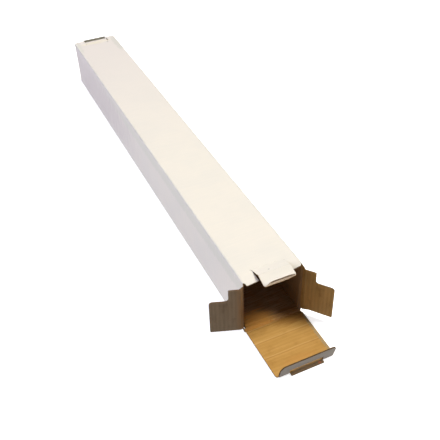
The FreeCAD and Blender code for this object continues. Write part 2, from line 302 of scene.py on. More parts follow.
@dataclass(frozen=True)
class Patch:
    """Soft oval of another colour on a liner, in millimetres along and across the flutes."""

    a: float
    b: float
    half_a: float
    half_b: float
    colour: Colour
    amount: float

    def over(self, colour: Tint, place: Tint, ragged: Wire) -> Tint:
        """Lay the patch over a colour.

        Args:
            colour: what lies below.
            place: place on the board.
            ragged: noise that frays the patch's outline.

        Returns:
            The colour with the patch.
        """
        off_a = (place.part(0) - self.a) / self.half_a
        off_b = (place.part(1) - self.b) / self.half_b
        away = off_a * off_a + off_b * off_b + ragged * 0.8 - 0.4
        return colour.toward(self.colour, away.rise(1.0, 0.1) * self.amount)


@dataclass(frozen=True)
class WhiteLiner:
    """Bleached paper on the outside of the board, with the flutes just telling through."""

    name: str
    colour: Colour = (0.88, 0.82, 0.71)
    shade: Colour = (0.82, 0.78, 0.69)
    fold_shade: Colour = (0.66, 0.655, 0.60)
    # far_shade: painted shade of the light's fall-off towards the far end
    far_shade: Colour = (0.76, 0.70, 0.66)
    speck: Colour = (0.50, 0.44, 0.34)
    folds: tuple[float, ...] = ()
    patches: tuple[Patch, ...] = ()
    flute_depth: float = 0.035

    def build(self, pitch: float) -> bpy.types.Material:
        """Make the material.

        Args:
            pitch: distance between two flutes, in millimetres.

        Returns:
            The material.
        """
        shader = Shader(self.name)
        place = shader.board_place()
        clouds = shader.noise(place, (0.012, 0.012, 0.0), 3.0).rise(0.38, 0.66)
        streaks = shader.noise(place, (0.02, 0.22, 0.0), 4.0).rise(0.35, 0.70)
        fibre = shader.noise(place, (1.6, 2.2, 0.0), 5.0, 0.65)
        flutes = shader.flutes(place, pitch)
        colour = shader.mix(clouds * 0.45 + streaks * 0.25, self.colour, self.shade)
        # painted shade: the liner darkens in the flute troughs, on top of their bump
        colour = colour.toward(self.shade, (1.0 - flutes) * 0.10)
        # painted shade: the liner darkens towards the far end, a light fall-off painted into the colour
        colour = colour.toward(self.far_shade, place.part(1).rise(-250.0, 560.0) * 0.8)
        specks = shader.noise(place, (0.9, 0.9, 0.0), 2.0).rise(0.70, 0.76)
        colour = colour.toward(self.speck, specks * 0.14)
        # painted shade: a darker olive band along each of the tube's rounded folds, frayed by noise
        for fold in self.folds:
            near = abs(place.part(0) - fold).rise(5.0, 0.6)
            fold_fray = shader.noise(place, (0.35, 0.06, 0.0), 4.0).rise(0.40, 0.62)
            colour = colour.toward(self.fold_shade, near * (fold_fray * 0.45 + 0.18))
        for patch in self.patches:
            colour = patch.over(colour, place, streaks)
        height = flutes * (self.flute_depth * 10.0) + fibre * 0.25 + clouds * 0.2
        return shader.finish(colour, streaks * 0.08 + 0.60, height, 0.10)


@dataclass(frozen=True)
class KraftLiner:
    """Brown paper on the inside of the board, with streaks along the flutes."""

    name: str
    colour: Colour = (0.475, 0.252, 0.056)
    pale: Colour = (0.57, 0.32, 0.085)
    dark: Colour = (0.33, 0.155, 0.028)
    flute_depth: float = 0.10
    ridges: tuple[float, ...] = ()
    ridge_light: Colour = (0.80, 0.50, 0.18)
    ridge_wear: float = 0.3
    slant: float = 0.0
    slant_from: float = 0.0
    hinge_tint: Colour | None = None
    patches: tuple[Patch, ...] = ()
    contrast: float = 1.0

    def build(self, pitch: float) -> bpy.types.Material:
        """Make the material.

        Args:
            pitch: distance between two flutes, in millimetres.

        Returns:
            The material.
        """
        shader = Shader(self.name)
        place = shader.board_place()
        flutes = shader.flutes(place, pitch)
        broad = shader.noise(place, (0.006, 0.07, 0.0), 4.0).rise(0.32, 0.68)
        streaks = shader.noise(place, (0.03, 0.6, 0.0), 5.0, 0.6).rise(0.35, 0.68)
        fibre = shader.noise(place, (1.1, 3.0, 0.0), 5.0, 0.7)
        blotch = shader.noise(place, (0.035, 0.05, 0.0), 3.0).rise(0.50, 0.72)
        most = self.contrast
        colour = shader.mix(broad * (0.45 * most) + streaks * (0.30 * most), self.colour, self.pale)
        # painted shade in the flute troughs; the blotches are the paper's own uneven tone
        colour = colour.toward(self.dark, (1.0 - flutes) * (0.12 * most) + blotch * (0.28 * most))
        colour = colour.toward(self.dark, fibre.rise(0.50, 0.72) * (0.28 * most))
        # painted highlight on each crease ridge and painted shade just beside it
        for ridge in self.ridges:
            lean = (place.part(0) - self.slant_from) * self.slant
            off = place.part(1) + (broad * 1.6 - 0.8) - lean - ridge
            colour = colour.toward(self.dark, abs(off - 2.0).rise(1.8, 0.3) * self.ridge_wear)
            colour = colour.toward(self.ridge_light, abs(off).rise(1.9, 0.3) * self.ridge_wear)
        if self.hinge_tint:
            near = place.part(1).rise(16.0, 1.0) * (streaks * 0.6 + 0.4)
            colour = colour.toward(self.hinge_tint, near * 0.8)
        for patch in self.patches:
            colour = patch.over(colour, place, streaks)
        height = flutes * (self.flute_depth * 5.0) + fibre * 0.20 + streaks * 0.25
        return shader.finish(colour, 0.86 - fibre * 0.10, height, 0.20)


@dataclass(frozen=True)
class CutPaper:
    """Cut edges of the liners and the fluted medium between them."""

    name: str
    colour: Colour = (0.42, 0.27, 0.13)
    dark: Colour = (0.20, 0.12, 0.055)

    def build(self, pitch: float) -> bpy.types.Material:
        """Make the material.

        Args:
            pitch: distance between two flutes, in millimetres.

        Returns:
            The material.
        """
        shader = Shader(self.name)
        place = shader.board_place()
        fibre = shader.noise(place, (2.5, 2.5 / pitch, 3.0), 4.0, 0.7)
        colour = shader.mix(fibre.rise(0.35, 0.65), self.colour, self.dark)
        return shader.finish(colour, 0.9 - fibre * 0.1, fibre, 0.10)


@dataclass(frozen=True)
class StudioPaper:
    """Plain pale floor."""

    name: str = "studio_paper"
    colour: Colour = (0.93, 0.93, 0.93)
    glow: float = 0.7

    def build(self) -> bpy.types.Material:
        """Make the material with a paper's faint unevenness."""
        shader = Shader(self.name)
        place = shader.add("ShaderNodeTexCoord", {}, {}, "Object", Tint)
        grain = shader.noise(place, (3.0, 3.0, 3.0), 2.0)
        colour = shader.mix(grain * 0.05, self.colour, (1.0, 1.0, 1.0))
        shader.surface.inputs["Emission Color"].default_value = (1.0, 1.0, 1.0, 1.0)
        shader.surface.inputs["Emission Strength"].default_value = self.glow
        return shader.finish(colour, 0.9, grain, 0.01)


# ---------------------------------------------------------------- folded board


@dataclass(frozen=True)
class Stock:
    """Corrugated board that every piece is cut from, in millimetres."""

    thickness: float = 3.0
    liner: float = 0.38
    medium: float = 0.20
    pitch: float = 6.5
    open_depth: float = 1.3
    pressed: float = 0.8
    crease_half: float = 0.8
    fold_radius: float = 2.5
    edge_crush: float = 0.35

    def bend(self, at: float, degrees: float = 90.0) -> "Bend":
        """Fold of this board at a place on its course."""
        return Bend(at, degrees, self.fold_radius)

    def pressed_to(self, distance: float, width: float = 4.0) -> float:
        """Thickness at a distance from a crease that was pressed from the inside."""
        share = smooth(distance, self.crease_half, width)
        return self.pressed + (self.thickness - self.pressed) * share


@dataclass(frozen=True)
class Outline:
    """Closed outline through (a, b, rounding) corners on the flat board."""

    corners: tuple[Corner, ...]

    def points(self, step: float) -> list[complex]:
        """Points along the outline.

        Args:
            step: longest straight stretch between two points.

        Returns:
            The points as complex numbers, a + bi.
        """
        bends: list[complex] = []
        spots = [complex(a, b) for a, b, _ in self.corners]
        for index, (spot, (_, _, rounding)) in enumerate(zip(spots, self.corners)):
            back = spots[index - 1] - spot
            ahead = spots[(index + 1) % len(spots)] - spot
            turn = cmath.phase(ahead / -back)
            if rounding <= 0.0 or abs(turn) < 1e-6:
                bends.append(spot)
                continue
            start = spot + back / abs(back) * rounding * math.tan(abs(turn) / 2)
            spoke = 1j * back / abs(back) * math.copysign(rounding, turn)
            count = max(3, math.ceil(abs(turn) / math.radians(12)))
            for k in range(count + 1):
                bends.append(start - spoke + spoke * cmath.exp(1j * turn * k / count))
        loop: list[complex] = []
        for here, there in zip(bends, bends[1:] + bends[:1]):
            count = max(1, math.ceil(abs(there - here) / step))
            loop.extend(here + (there - here) * k / count for k in range(count))
        return loop


@dataclass(frozen=True)
class Bend:
    """Fold across a board's course: its place, its angle towards the inside, its outer radius."""

    at: float
    degrees: float
    radius: float


@dataclass(frozen=True)
class Course:
    """Line that a board follows as it is folded, seen in section."""

    bends: tuple[Bend, ...] = ()
    least_radius: float = 0.15

    def reach(self, bend: Bend, thickness: float) -> float:
        """Length on each side of a fold's corner that the bend takes up."""
        radius = max(bend.radius, thickness + self.least_radius) if bend.degrees > 0 else bend.radius
        return radius * math.tan(math.radians(abs(bend.degrees)) / 2)

    def place(self, along: float, depth: float, thickness: float) -> complex:
        """Point of the folded board.

        Args:
            along: distance along the outer liner, measured to each fold's sharp corner.
            depth: distance from the outer liner towards the inner one.
            thickness: board thickness that the bends leave room for.

        Returns:
            Forward + inward i, in the section's first direction.
        """
        spot = 0j
        heading = 1 + 0j
        last = 0.0
        for bend in self.bends:
            reach = self.reach(bend, thickness)
            if along <= bend.at - reach:
                break
            corner = spot + heading * (bend.at - last)
            if along < bend.at + reach:
                share = (along - bend.at + reach) / (2 * reach)
                return corner + heading * self._round(bend, reach, share, depth)
            spot = corner
            heading *= cmath.exp(1j * math.radians(bend.degrees))
            last = bend.at
        return spot + heading * (along - last + 1j * depth)

    def _round(self, bend: Bend, reach: float, share: float, depth: float) -> complex:
        """Point in a bend, from its sharp corner, for a share of the way through."""
        angle = math.radians(bend.degrees)
        side = math.copysign(1.0, angle)
        radius = max(bend.radius - side * depth, self.least_radius)
        straight = reach - depth * math.tan(angle / 2) - radius * math.tan(abs(angle) / 2)
        way = share * (2 * straight + radius * abs(angle))
        start = -reach + 1j * depth
        out = cmath.exp(1j * angle)
        if way < straight:
            return start + way
        if way < straight + radius * abs(angle):
            centre = start + straight + 1j * side * radius
            return centre - 1j * side * radius * cmath.exp(1j * side * (way - straight) / radius)
        left = 2 * straight + radius * abs(angle) - way
        return out * (reach - left + 1j * depth)


@dataclass(frozen=True)
class Panel:
    """Flat frame of a flap: a along its hinge, b away from it, n from outer liner to inner."""

    origin: Vector
    along: Vector
    away: Vector
    inward: Vector

    def __call__(self, a: float, b: float, n: float) -> Vector:
        """Point of the panel, in millimetres."""
        return self.origin + self.along * a + self.away * b + self.inward * n

    def turned(self, degrees: float, b: float = 0.0, n: float = 0.0) -> "Panel":
        """Panel turned towards its inside about the line at b and n, which becomes b = 0."""
        angle = math.radians(degrees)
        away = self.away * math.cos(angle) + self.inward * math.sin(angle)
        inward = self.inward * math.cos(angle) - self.away * math.sin(angle)
        return Panel(self(0.0, b, n) - inward * n, self.along, away, inward)

    def folded(self, course: Course, thickness: float) -> Place:
        """Place on a board that follows a course over this panel."""

        def place(a: float, b: float, n: float) -> Vector:
            """Point of the folded board, in millimetres."""
            spot = course.place(b, n, thickness)
            return self(a, spot.real, spot.imag)

        return place

    def flexed(self, degrees: float, half: float, n: float = 0.0) -> Place:
        """Place on a strip that turns by degrees between b = -half and b = half, about depth n."""

        def place(a: float, b: float, depth: float) -> Vector:
            """Point of the strip, in millimetres."""
            return self.turned(degrees * smooth(b, -half, half), 0.0, n)(a, b, depth)

        return place


def even_lines(low: float, high: float, step: float) -> list[float]:
    """Evenly spaced values from low to high, no further apart than step."""
    count = max(1, math.ceil((high - low) / step))
    return [low + (high - low) * k / count for k in range(count + 1)]


def clearance(spots: np.ndarray, loop: np.ndarray) -> np.ndarray:
    """Distance of each spot from a closed loop, both as complex numbers."""
    least = np.full(len(spots), np.inf)
    for start, side in zip(loop, np.roll(loop, -1) - loop):
        share = ((spots - start) * side.conjugate()).real / abs(side) ** 2
        least = np.minimum(least, abs(spots - start - share.clip(0, 1) * side))
    return least


def enclosed(spots: np.ndarray, loop: np.ndarray) -> np.ndarray:
    """Whether each spot lies inside a closed loop, both as complex numbers."""
    inside = np.zeros(len(spots), bool)
    for start, end in zip(loop, np.roll(loop, -1)):
        spans = (start.imag > spots.imag) != (end.imag > spots.imag)
        rise = end.imag - start.imag or 1.0
        crossing = start.real + (spots.imag - start.imag) * (end.real - start.real) / rise
        inside ^= spans & (spots.real < crossing)
    return inside


@dataclass
class Board:
    """Piece of corrugated board, made as one closed skin with an open, fluted edge."""

    name: str
    slot: Slot
    outline: Outline
    place: Place
    stock: Stock
    finishes: Sequence[bpy.types.Material]
    lines_a: Sequence[float]
    lines_b: Sequence[float]
    holes: tuple[Outline, ...] = ()
    outer: Level = lambda a, b: 0.0
    inner: Level | None = None
    open_depth: Level | None = None
    leaf: Level | None = None
    seams: tuple[Seam, ...] = ()
    rings: int = 1
    edge_step: float = 3.0
    grain: Grain = lambda a, b: (a, b)
    spots: list[tuple[float, float, float]] = field(default_factory=list)
    faces: list[tuple[int, ...]] = field(default_factory=list)
    kinds: list[Face] = field(default_factory=list)

    def build(self) -> bpy.types.Object:
        """Make the object, in the row's frame."""
        loops = [shape.points(self.edge_step) for shape in (self.outline, *self.holes)]
        plan, edge_of, triangles = self._plan(loops)
        count = len(plan)
        levels = [self._levels(spot, gap) for spot, gap in plan]
        self.spots = [(s.real, s.imag, low) for (s, _), (low, _) in zip(plan, levels)]
        self.spots += [(s.real, s.imag, high) for (s, _), (_, high) in zip(plan, levels)]
        for triangle in triangles:
            self._face(triangle, Face.OUTER)
            self._face([count + k for k in reversed(triangle)], Face.INNER)
        for index, (loop, ids) in enumerate(zip(loops, edge_of)):
            inward = self._inward(loop, index > 0)
            self._edge(loop, inward, ids, [count + k for k in ids])
            self._flutes(loop, inward)
        return self._object()

    def _face(self, corners: Sequence[int], kind: Face) -> None:
        """Add one face."""
        self.faces.append(tuple(corners))
        self.kinds.append(kind)

    def _levels(self, spot: complex, gap: float) -> tuple[float, float]:
        """Depths of the two liners' faces at a spot that lies gap inside the nearest edge."""
        low = self.outer(spot.real, spot.imag)
        high = self.inner(spot.real, spot.imag) if self.inner else self.stock.thickness
        soft = smooth(high - low, self.stock.pressed, self.stock.thickness)
        crush = self.stock.edge_crush * soft * max(0.0, 1.0 - gap / 2.0) ** 2
        if self._joined(spot):
            crush = 0.0
        return low + crush, high - crush

    def _joined(self, spot: complex) -> bool:
        """Whether the board carries on in another piece beside this spot."""
        return any(
            left <= spot.real <= right and low <= spot.imag <= high
            for left, right, low, high in self.seams
        )

    def _plan(
        self, loops: list[list[complex]]
    ) -> tuple[list[tuple[complex, float]], list[list[int]], list[tuple[int, ...]]]:
        """Triangulate the flat board.

        Args:
            loops: the outline and the holes.

        Returns:
            Each spot with its distance from the nearest edge, the loops as indexes of
            spots, and the triangles.
        """
        edges: list[tuple[int, int]] = []
        spots: list[complex] = []
        for loop in loops:
            first = len(spots)
            spots += loop
            edges += [(first + k, first + (k + 1) % len(loop)) for k in range(len(loop))]
        grid = np.array([complex(a, b) for a in self.lines_a for b in self.lines_b])
        arrays = [np.array(loop) for loop in loops]
        inside = enclosed(grid, arrays[0])
        for hole in arrays[1:]:
            inside &= ~enclosed(grid, hole)
        grid = grid[inside]
        gaps = np.minimum.reduce([clearance(grid, loop) for loop in arrays])
        spots += list(grid[gaps > 0.55])
        points = [Vector((s.real, s.imag)) for s in spots]
        made, _, triangles, sources, _, _ = delaunay_2d_cdt(points, edges, [], 1, 1e-5)
        new_of = {old: new for new, olds in enumerate(sources) for old in olds}
        made_at = np.array([complex(p.x, p.y) for p in made])
        middles = np.array([made_at[list(t)].mean() for t in triangles])
        keep = enclosed(middles, arrays[0])
        for hole in arrays[1:]:
            keep &= ~enclosed(middles, hole)
        edge_of = []
        first = 0
        for loop in loops:
            edge_of.append([new_of[first + k] for k in range(len(loop))])
            first += len(loop)
        gaps = np.minimum.reduce([clearance(made_at, loop) for loop in arrays])
        plan = list(zip(made_at.tolist(), gaps.tolist()))
        return plan, edge_of, [tuple(t) for t, kept in zip(triangles, keep) if kept]

    def _inward(self, loop: list[complex], is_hole: bool) -> list[complex]:
        """Direction into the board at each point of a loop, lengthened at corners."""
        ahead = [there - here for here, there in zip(loop, loop[1:] + loop[:1])]
        sides = [1j * side / abs(side) for side in ahead]
        inside = enclosed(np.array([loop[0] + ahead[0] / 2 + 0.02 * sides[0]]), np.array(loop))[0]
        sign = 1.0 if bool(inside) != is_hole else -1.0
        result = []
        for before, after in zip(sides[-1:] + sides[:-1], sides):
            middle = before + after
            result.append(sign * 2 * middle / max(abs(middle) ** 2, 1.0))
        return result

    def _channel(self, spot: complex) -> tuple[float, float, float, float]:
        """Depths of both faces, leaf thickness and opening depth at a point of an edge."""
        low, high = self._levels(spot, 0.0)
        leaf = min(self.stock.liner, 0.3 * (high - low))
        if self.leaf:
            leaf = self.leaf(spot.real, spot.imag)
        depth = self.stock.open_depth * smooth(high - low, 1.2, 2.0) + 0.03
        if self.open_depth:
            depth = self.open_depth(spot.real, spot.imag)
        if self._joined(spot):
            depth = 0.03
        return low, high, leaf, depth

    def _edge(
        self, loop: list[complex], inward: list[complex], outer_ids: list[int], inner_ids: list[int]
    ) -> None:
        """Close an edge with a channel between the two liners.

        Args:
            loop: points of the edge.
            inward: direction into the board at each point.
            outer_ids: indexes of its spots on the outer face.
            inner_ids: and on the inner face.
        """
        rows = [outer_ids]
        above: list[list[int]] = []
        below: list[list[int]] = []
        for ring in range(self.rings + 1):
            share = ring / self.rings
            upper, lower = [], []
            for spot, way in zip(loop, inward):
                _, _, _, depth = self._channel(spot)
                inner_spot = spot + way * depth * share
                low, high = self._levels(inner_spot, depth * share)
                leaf = self._leaf_at(spot, inner_spot, share, high - low)
                upper.append(len(self.spots))
                self.spots.append((inner_spot.real, inner_spot.imag, low + leaf))
                lower.append(len(self.spots))
                self.spots.append((inner_spot.real, inner_spot.imag, high - leaf))
            above.append(upper)
            below.append(lower)
        rows += above + below[::-1] + [inner_ids]
        kinds = [Face.CUT] * (len(rows) - 1)
        kinds[-1] = Face.INNER
        for first, second, kind in zip(rows, rows[1:], kinds):
            for k in range(len(loop)):
                after = (k + 1) % len(loop)
                self._face((first[k], first[after], second[after], second[k]), kind)

    def _leaf_at(self, spot: complex, inner_spot: complex, share: float, height: float) -> float:
        """Thickness of the liner beside the channel, which closes up at a split's end."""
        _, _, leaf, _ = self._channel(spot)
        if self.leaf:
            return leaf + (height / 2 - 0.04 - leaf) * share * share
        return min(leaf, 0.3 * height)

    def _flutes(self, loop: list[complex], inward: list[complex]) -> None:
        """Lay the edge of the fluted medium along a loop, where the board is open."""
        if self.leaf:
            return
        step = self.stock.pitch / 10
        fine: list[complex] = []
        ways: list[complex] = []
        for k, here in enumerate(loop):
            after = (k + 1) % len(loop)
            count = max(1, round(abs(loop[after] - here) / step))
            for part in range(count):
                share = part / count
                fine.append(here + (loop[after] - here) * share)
                ways.append(inward[k] * (1 - share) + inward[after] * share)
        rows: list[list[int]] = [[], [], [], []]
        is_open: list[bool] = []
        for spot, way in zip(fine, ways):
            low, high, leaf, depth = self._channel(spot)
            is_open.append(high - low > 1.5 * self.stock.pressed and not self._joined(spot))
            swing = max(0.02, (high - low) / 2 - leaf - self.stock.medium * 0.4)
            wave = (low + high) / 2 + swing * math.sin(2 * math.pi * spot.imag / self.stock.pitch)
            half = self.stock.medium / 2
            near = spot + way * min(0.12, depth / 3)
            far = spot + way * (depth + 0.25)
            for row, (at, level) in zip(rows, ((near, -half), (far, -half), (far, half), (near, half))):
                row.append(len(self.spots))
                self.spots.append((at.real, at.imag, wave + level))
        for first, second in zip(rows, rows[1:] + rows[:1]):
            for k in range(len(fine)):
                after = (k + 1) % len(fine)
                if is_open[k] and is_open[after]:
                    self._face((first[k], first[after], second[after], second[k]), Face.CUT)

    def _object(self) -> bpy.types.Object:
        """Turn the collected spots and faces into an object with its materials."""
        mesh = bpy.data.meshes.new(self.name)
        mesh.from_pydata([self.place(*spot) * MM for spot in self.spots], [], self.faces)
        mesh.polygons.foreach_set("material_index", [kind.value for kind in self.kinds])
        places = mesh.attributes.new(BOARD_ATTRIBUTE, "FLOAT_VECTOR", "POINT")
        shifted = [(*self.grain(a, b), n) for a, b, n in self.spots]
        places.data.foreach_set("vector", np.array(shifted, np.float32).ravel())
        work = bmesh.new()
        work.from_mesh(mesh)
        bmesh.ops.dissolve_degenerate(work, dist=1e-7, edges=work.edges)
        loose = [vertex for vertex in work.verts if not vertex.link_faces]
        bmesh.ops.delete(work, geom=loose, context="VERTS")
        bmesh.ops.recalc_face_normals(work, faces=work.faces)
        work.to_mesh(mesh)
        work.free()
        for finish in self.finishes:
            mesh.materials.append(finish)
        mesh.shade_smooth()
        mesh.set_sharp_from_angle(angle=math.radians(38))
        piece = in_scene(self.name, mesh)
        log.info("%s: %d faces", self.name, len(mesh.polygons))
        return piece


# ---------------------------------------------------------------- the blank's sizes


@dataclass(frozen=True)
class Blank:
    """Sizes of the cut and creased sheet, in millimetres."""

    stock: Stock
    half_width: float
    height: float
    left_mouth: float
    right_mouth: float
    end_mouth: float
    flap_fold: float
    root: Vector
    crease: Vector
    left_top: float
    right_top: float
    length: float = 980.0
    left_foot: float = 5.0
    left_shoulder: float = 72.8
    left_slope: float = 5.4
    left_foot_round: float = 2.0
    right_foot: float = 10.0
    right_shoulder: float = 75.0
    right_slope: float = 2.7
    right_crease_top: float = 102.7
    closed_start: float = -3.3
    flex_half: float = 2.3
    lip_press: float = 4.2
    neck_play: float = 2.0
    tongue_shift: float = 1.5
    tongue_half: float = 28.2
    tongue_length: float = 43.2
    tongue_raise: float = 9.5
    tongue_press: float = 6.5
    slit: float = 0.5
    relief: float = 0.8
    flap_left: float = -51.4
    flap_right: float = 52.6
    left_taper: float = 0.4
    right_taper: float = 0.2
    left_round: float = 3.5
    right_round: float = 1.5
    lip_left: float = -46.5
    lip_right: float = 49.4
    lip_length: float = 30.0
    lip_bend: float = 75.0
    far_lip_bend: float = 96.0
    window: float = 10.0
    window_play: float = 0.8
    tab_left: float = -27.7
    tab_right: float = 30.1
    tab_reach: float = 5.0
    lap_top: float = 33.0
    left_bend: float = -110.0
    right_bend: float = -38.0
    cut_back: float = 0.85
    lip_back: float = 1.1

    @property
    def far_left(self) -> float:
        """Far end of the left wall."""
        return self.length + self.end_mouth

    def far(self, y: float) -> float:
        """Place at the far end that matches a place at the near end."""
        return self.left_mouth + self.far_left - y

    @property
    def tongue_left(self) -> float:
        """Left side of the lock tongue."""
        return self.root.x - self.tongue_half

    @property
    def tongue_right(self) -> float:
        """Right side of the lock tongue."""
        return self.root.x + self.tongue_half

    @property
    def crease_reach(self) -> float:
        """Distance along the tongue from the line between its slits' ends to its crease."""
        step = self.crease - self.root
        return math.sqrt(step.length_squared - (self.stock.thickness / 2) ** 2)

    @property
    def window_sides(self) -> tuple[float, float]:
        """Left and right sides of the lip's lock window."""
        return self.tab_left - self.window_play, self.tab_right + self.window_play

    def wall(self, side: float, mouth: float, away: Vector) -> "Panel":
        """Frame of a side wall at a mouth; side is -1 on the left, and away leaves the box."""
        return Panel(Vector((side * self.half_width, mouth, 0.0)), Z, away, -side * X)

    def left_flap(self) -> tuple[float, ...]:
        """Left dust flap: foot, shoulder, top, neck's reach, slope's run and foot's rounding."""
        neck = self.tongue_left - self.tongue_shift + self.half_width - self.neck_play
        return (
            self.left_foot, self.left_shoulder, self.left_top, neck, self.left_slope,
            self.left_foot_round,
        )

    def right_flap(self) -> tuple[float, ...]:
        """Right dust flap, in the same order."""
        neck = self.half_width - self.tongue_right + self.tongue_shift - self.neck_play
        return self.right_foot, self.right_shoulder, self.right_top, neck, self.right_slope, 0.0

    @classmethod
    def from_frame(cls) -> "Blank":
        """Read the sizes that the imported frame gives."""
        stock = Stock()
        left, right = joint_place("left_dust_hinge"), joint_place("right_dust_hinge")
        end, fold = joint_place("end_flap_hinge"), joint_place("tuck_lip_fold")
        root = joint_place("tongue_root_flex")
        return cls(
            stock=stock, half_width=right.x, height=root.z + stock.thickness / 2,
            left_mouth=left.y, right_mouth=right.y, end_mouth=end.y, flap_fold=end.y - fold.y,
            root=root + X * cls.tongue_shift,
            crease=joint_place("tongue_crease") + X * cls.tongue_shift,
            left_top=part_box("left_dust_flap")[1].z / MM, right_top=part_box("right_dust_flap")[1].z / MM,
        )


@dataclass(frozen=True)
class Papers:
    """Materials of one piece: outer liner, inner liner and cut edges."""

    outer: bpy.types.Material
    inner: bpy.types.Material
    cut: bpy.types.Material

    def all(self) -> tuple[bpy.types.Material, ...]:
        """The materials in the order of the Face indexes."""
        return self.outer, self.inner, self.cut


def merged(*groups: Sequence[float]) -> list[float]:
    """Sorted values of all groups without near repeats."""
    result: list[float] = []
    for value in sorted(value for group in groups for value in group):
        if not result or value - result[-1] > 0.3:
            result.append(value)
    return result


@dataclass
class Crease:
    """Strip of pressed board at the fold between two bodies, bent through the angle between them."""

    name: str
    slot: Slot
    still: Panel
    degrees: float
    span: tuple[float, float]
    bodies: tuple[str, str]
    papers: Papers
    stock: Stock
    levels: tuple[float, float] = (0.05, 0.75)
    half: float = 1.3
    turn_half: float = 0.95
    pivot: float = 0.0
    lift: Callable[[float], float] = lambda b: 0.0
    grain: Grain = lambda a, b: (a, b)

    def build(self) -> bpy.types.Object:
        """Make the strip, bent through its angle across its width."""
        low, high = self.span
        corners = (
            (low, -self.half, 0.0), (high, -self.half, 0.0), (high, self.half, 0.0), (low, self.half, 0.0)
        )
        piece = Board(
            name=self.name, slot=self.slot, outline=Outline(corners),
            place=self.still.flexed(self.degrees, self.turn_half, self.pivot), stock=self.stock,
            finishes=self.papers.all(), lines_a=even_lines(low, high, self.half / 3),
            lines_b=even_lines(-self.half, self.half, self.half / 7),
            outer=lambda a, b: self.levels[0] - self.lift(b),
            inner=lambda a, b: self.levels[1] - self.lift(b),
            open_depth=lambda a, b: 0.05, seams=((low - 1, high + 1, -9.0, 9.0),),
            edge_step=self.half / 4, grain=self.grain,
        ).build()
        start = self.still(0.0, -self.turn_half, self.pivot)
        end = self.still.turned(self.degrees, 0.0, self.pivot)(0.0, self.turn_half, self.pivot)
        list(self.bodies)
        start * MM
        end * MM
        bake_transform(piece)
        return piece


# ---------------------------------------------------------------- sub-assemblies


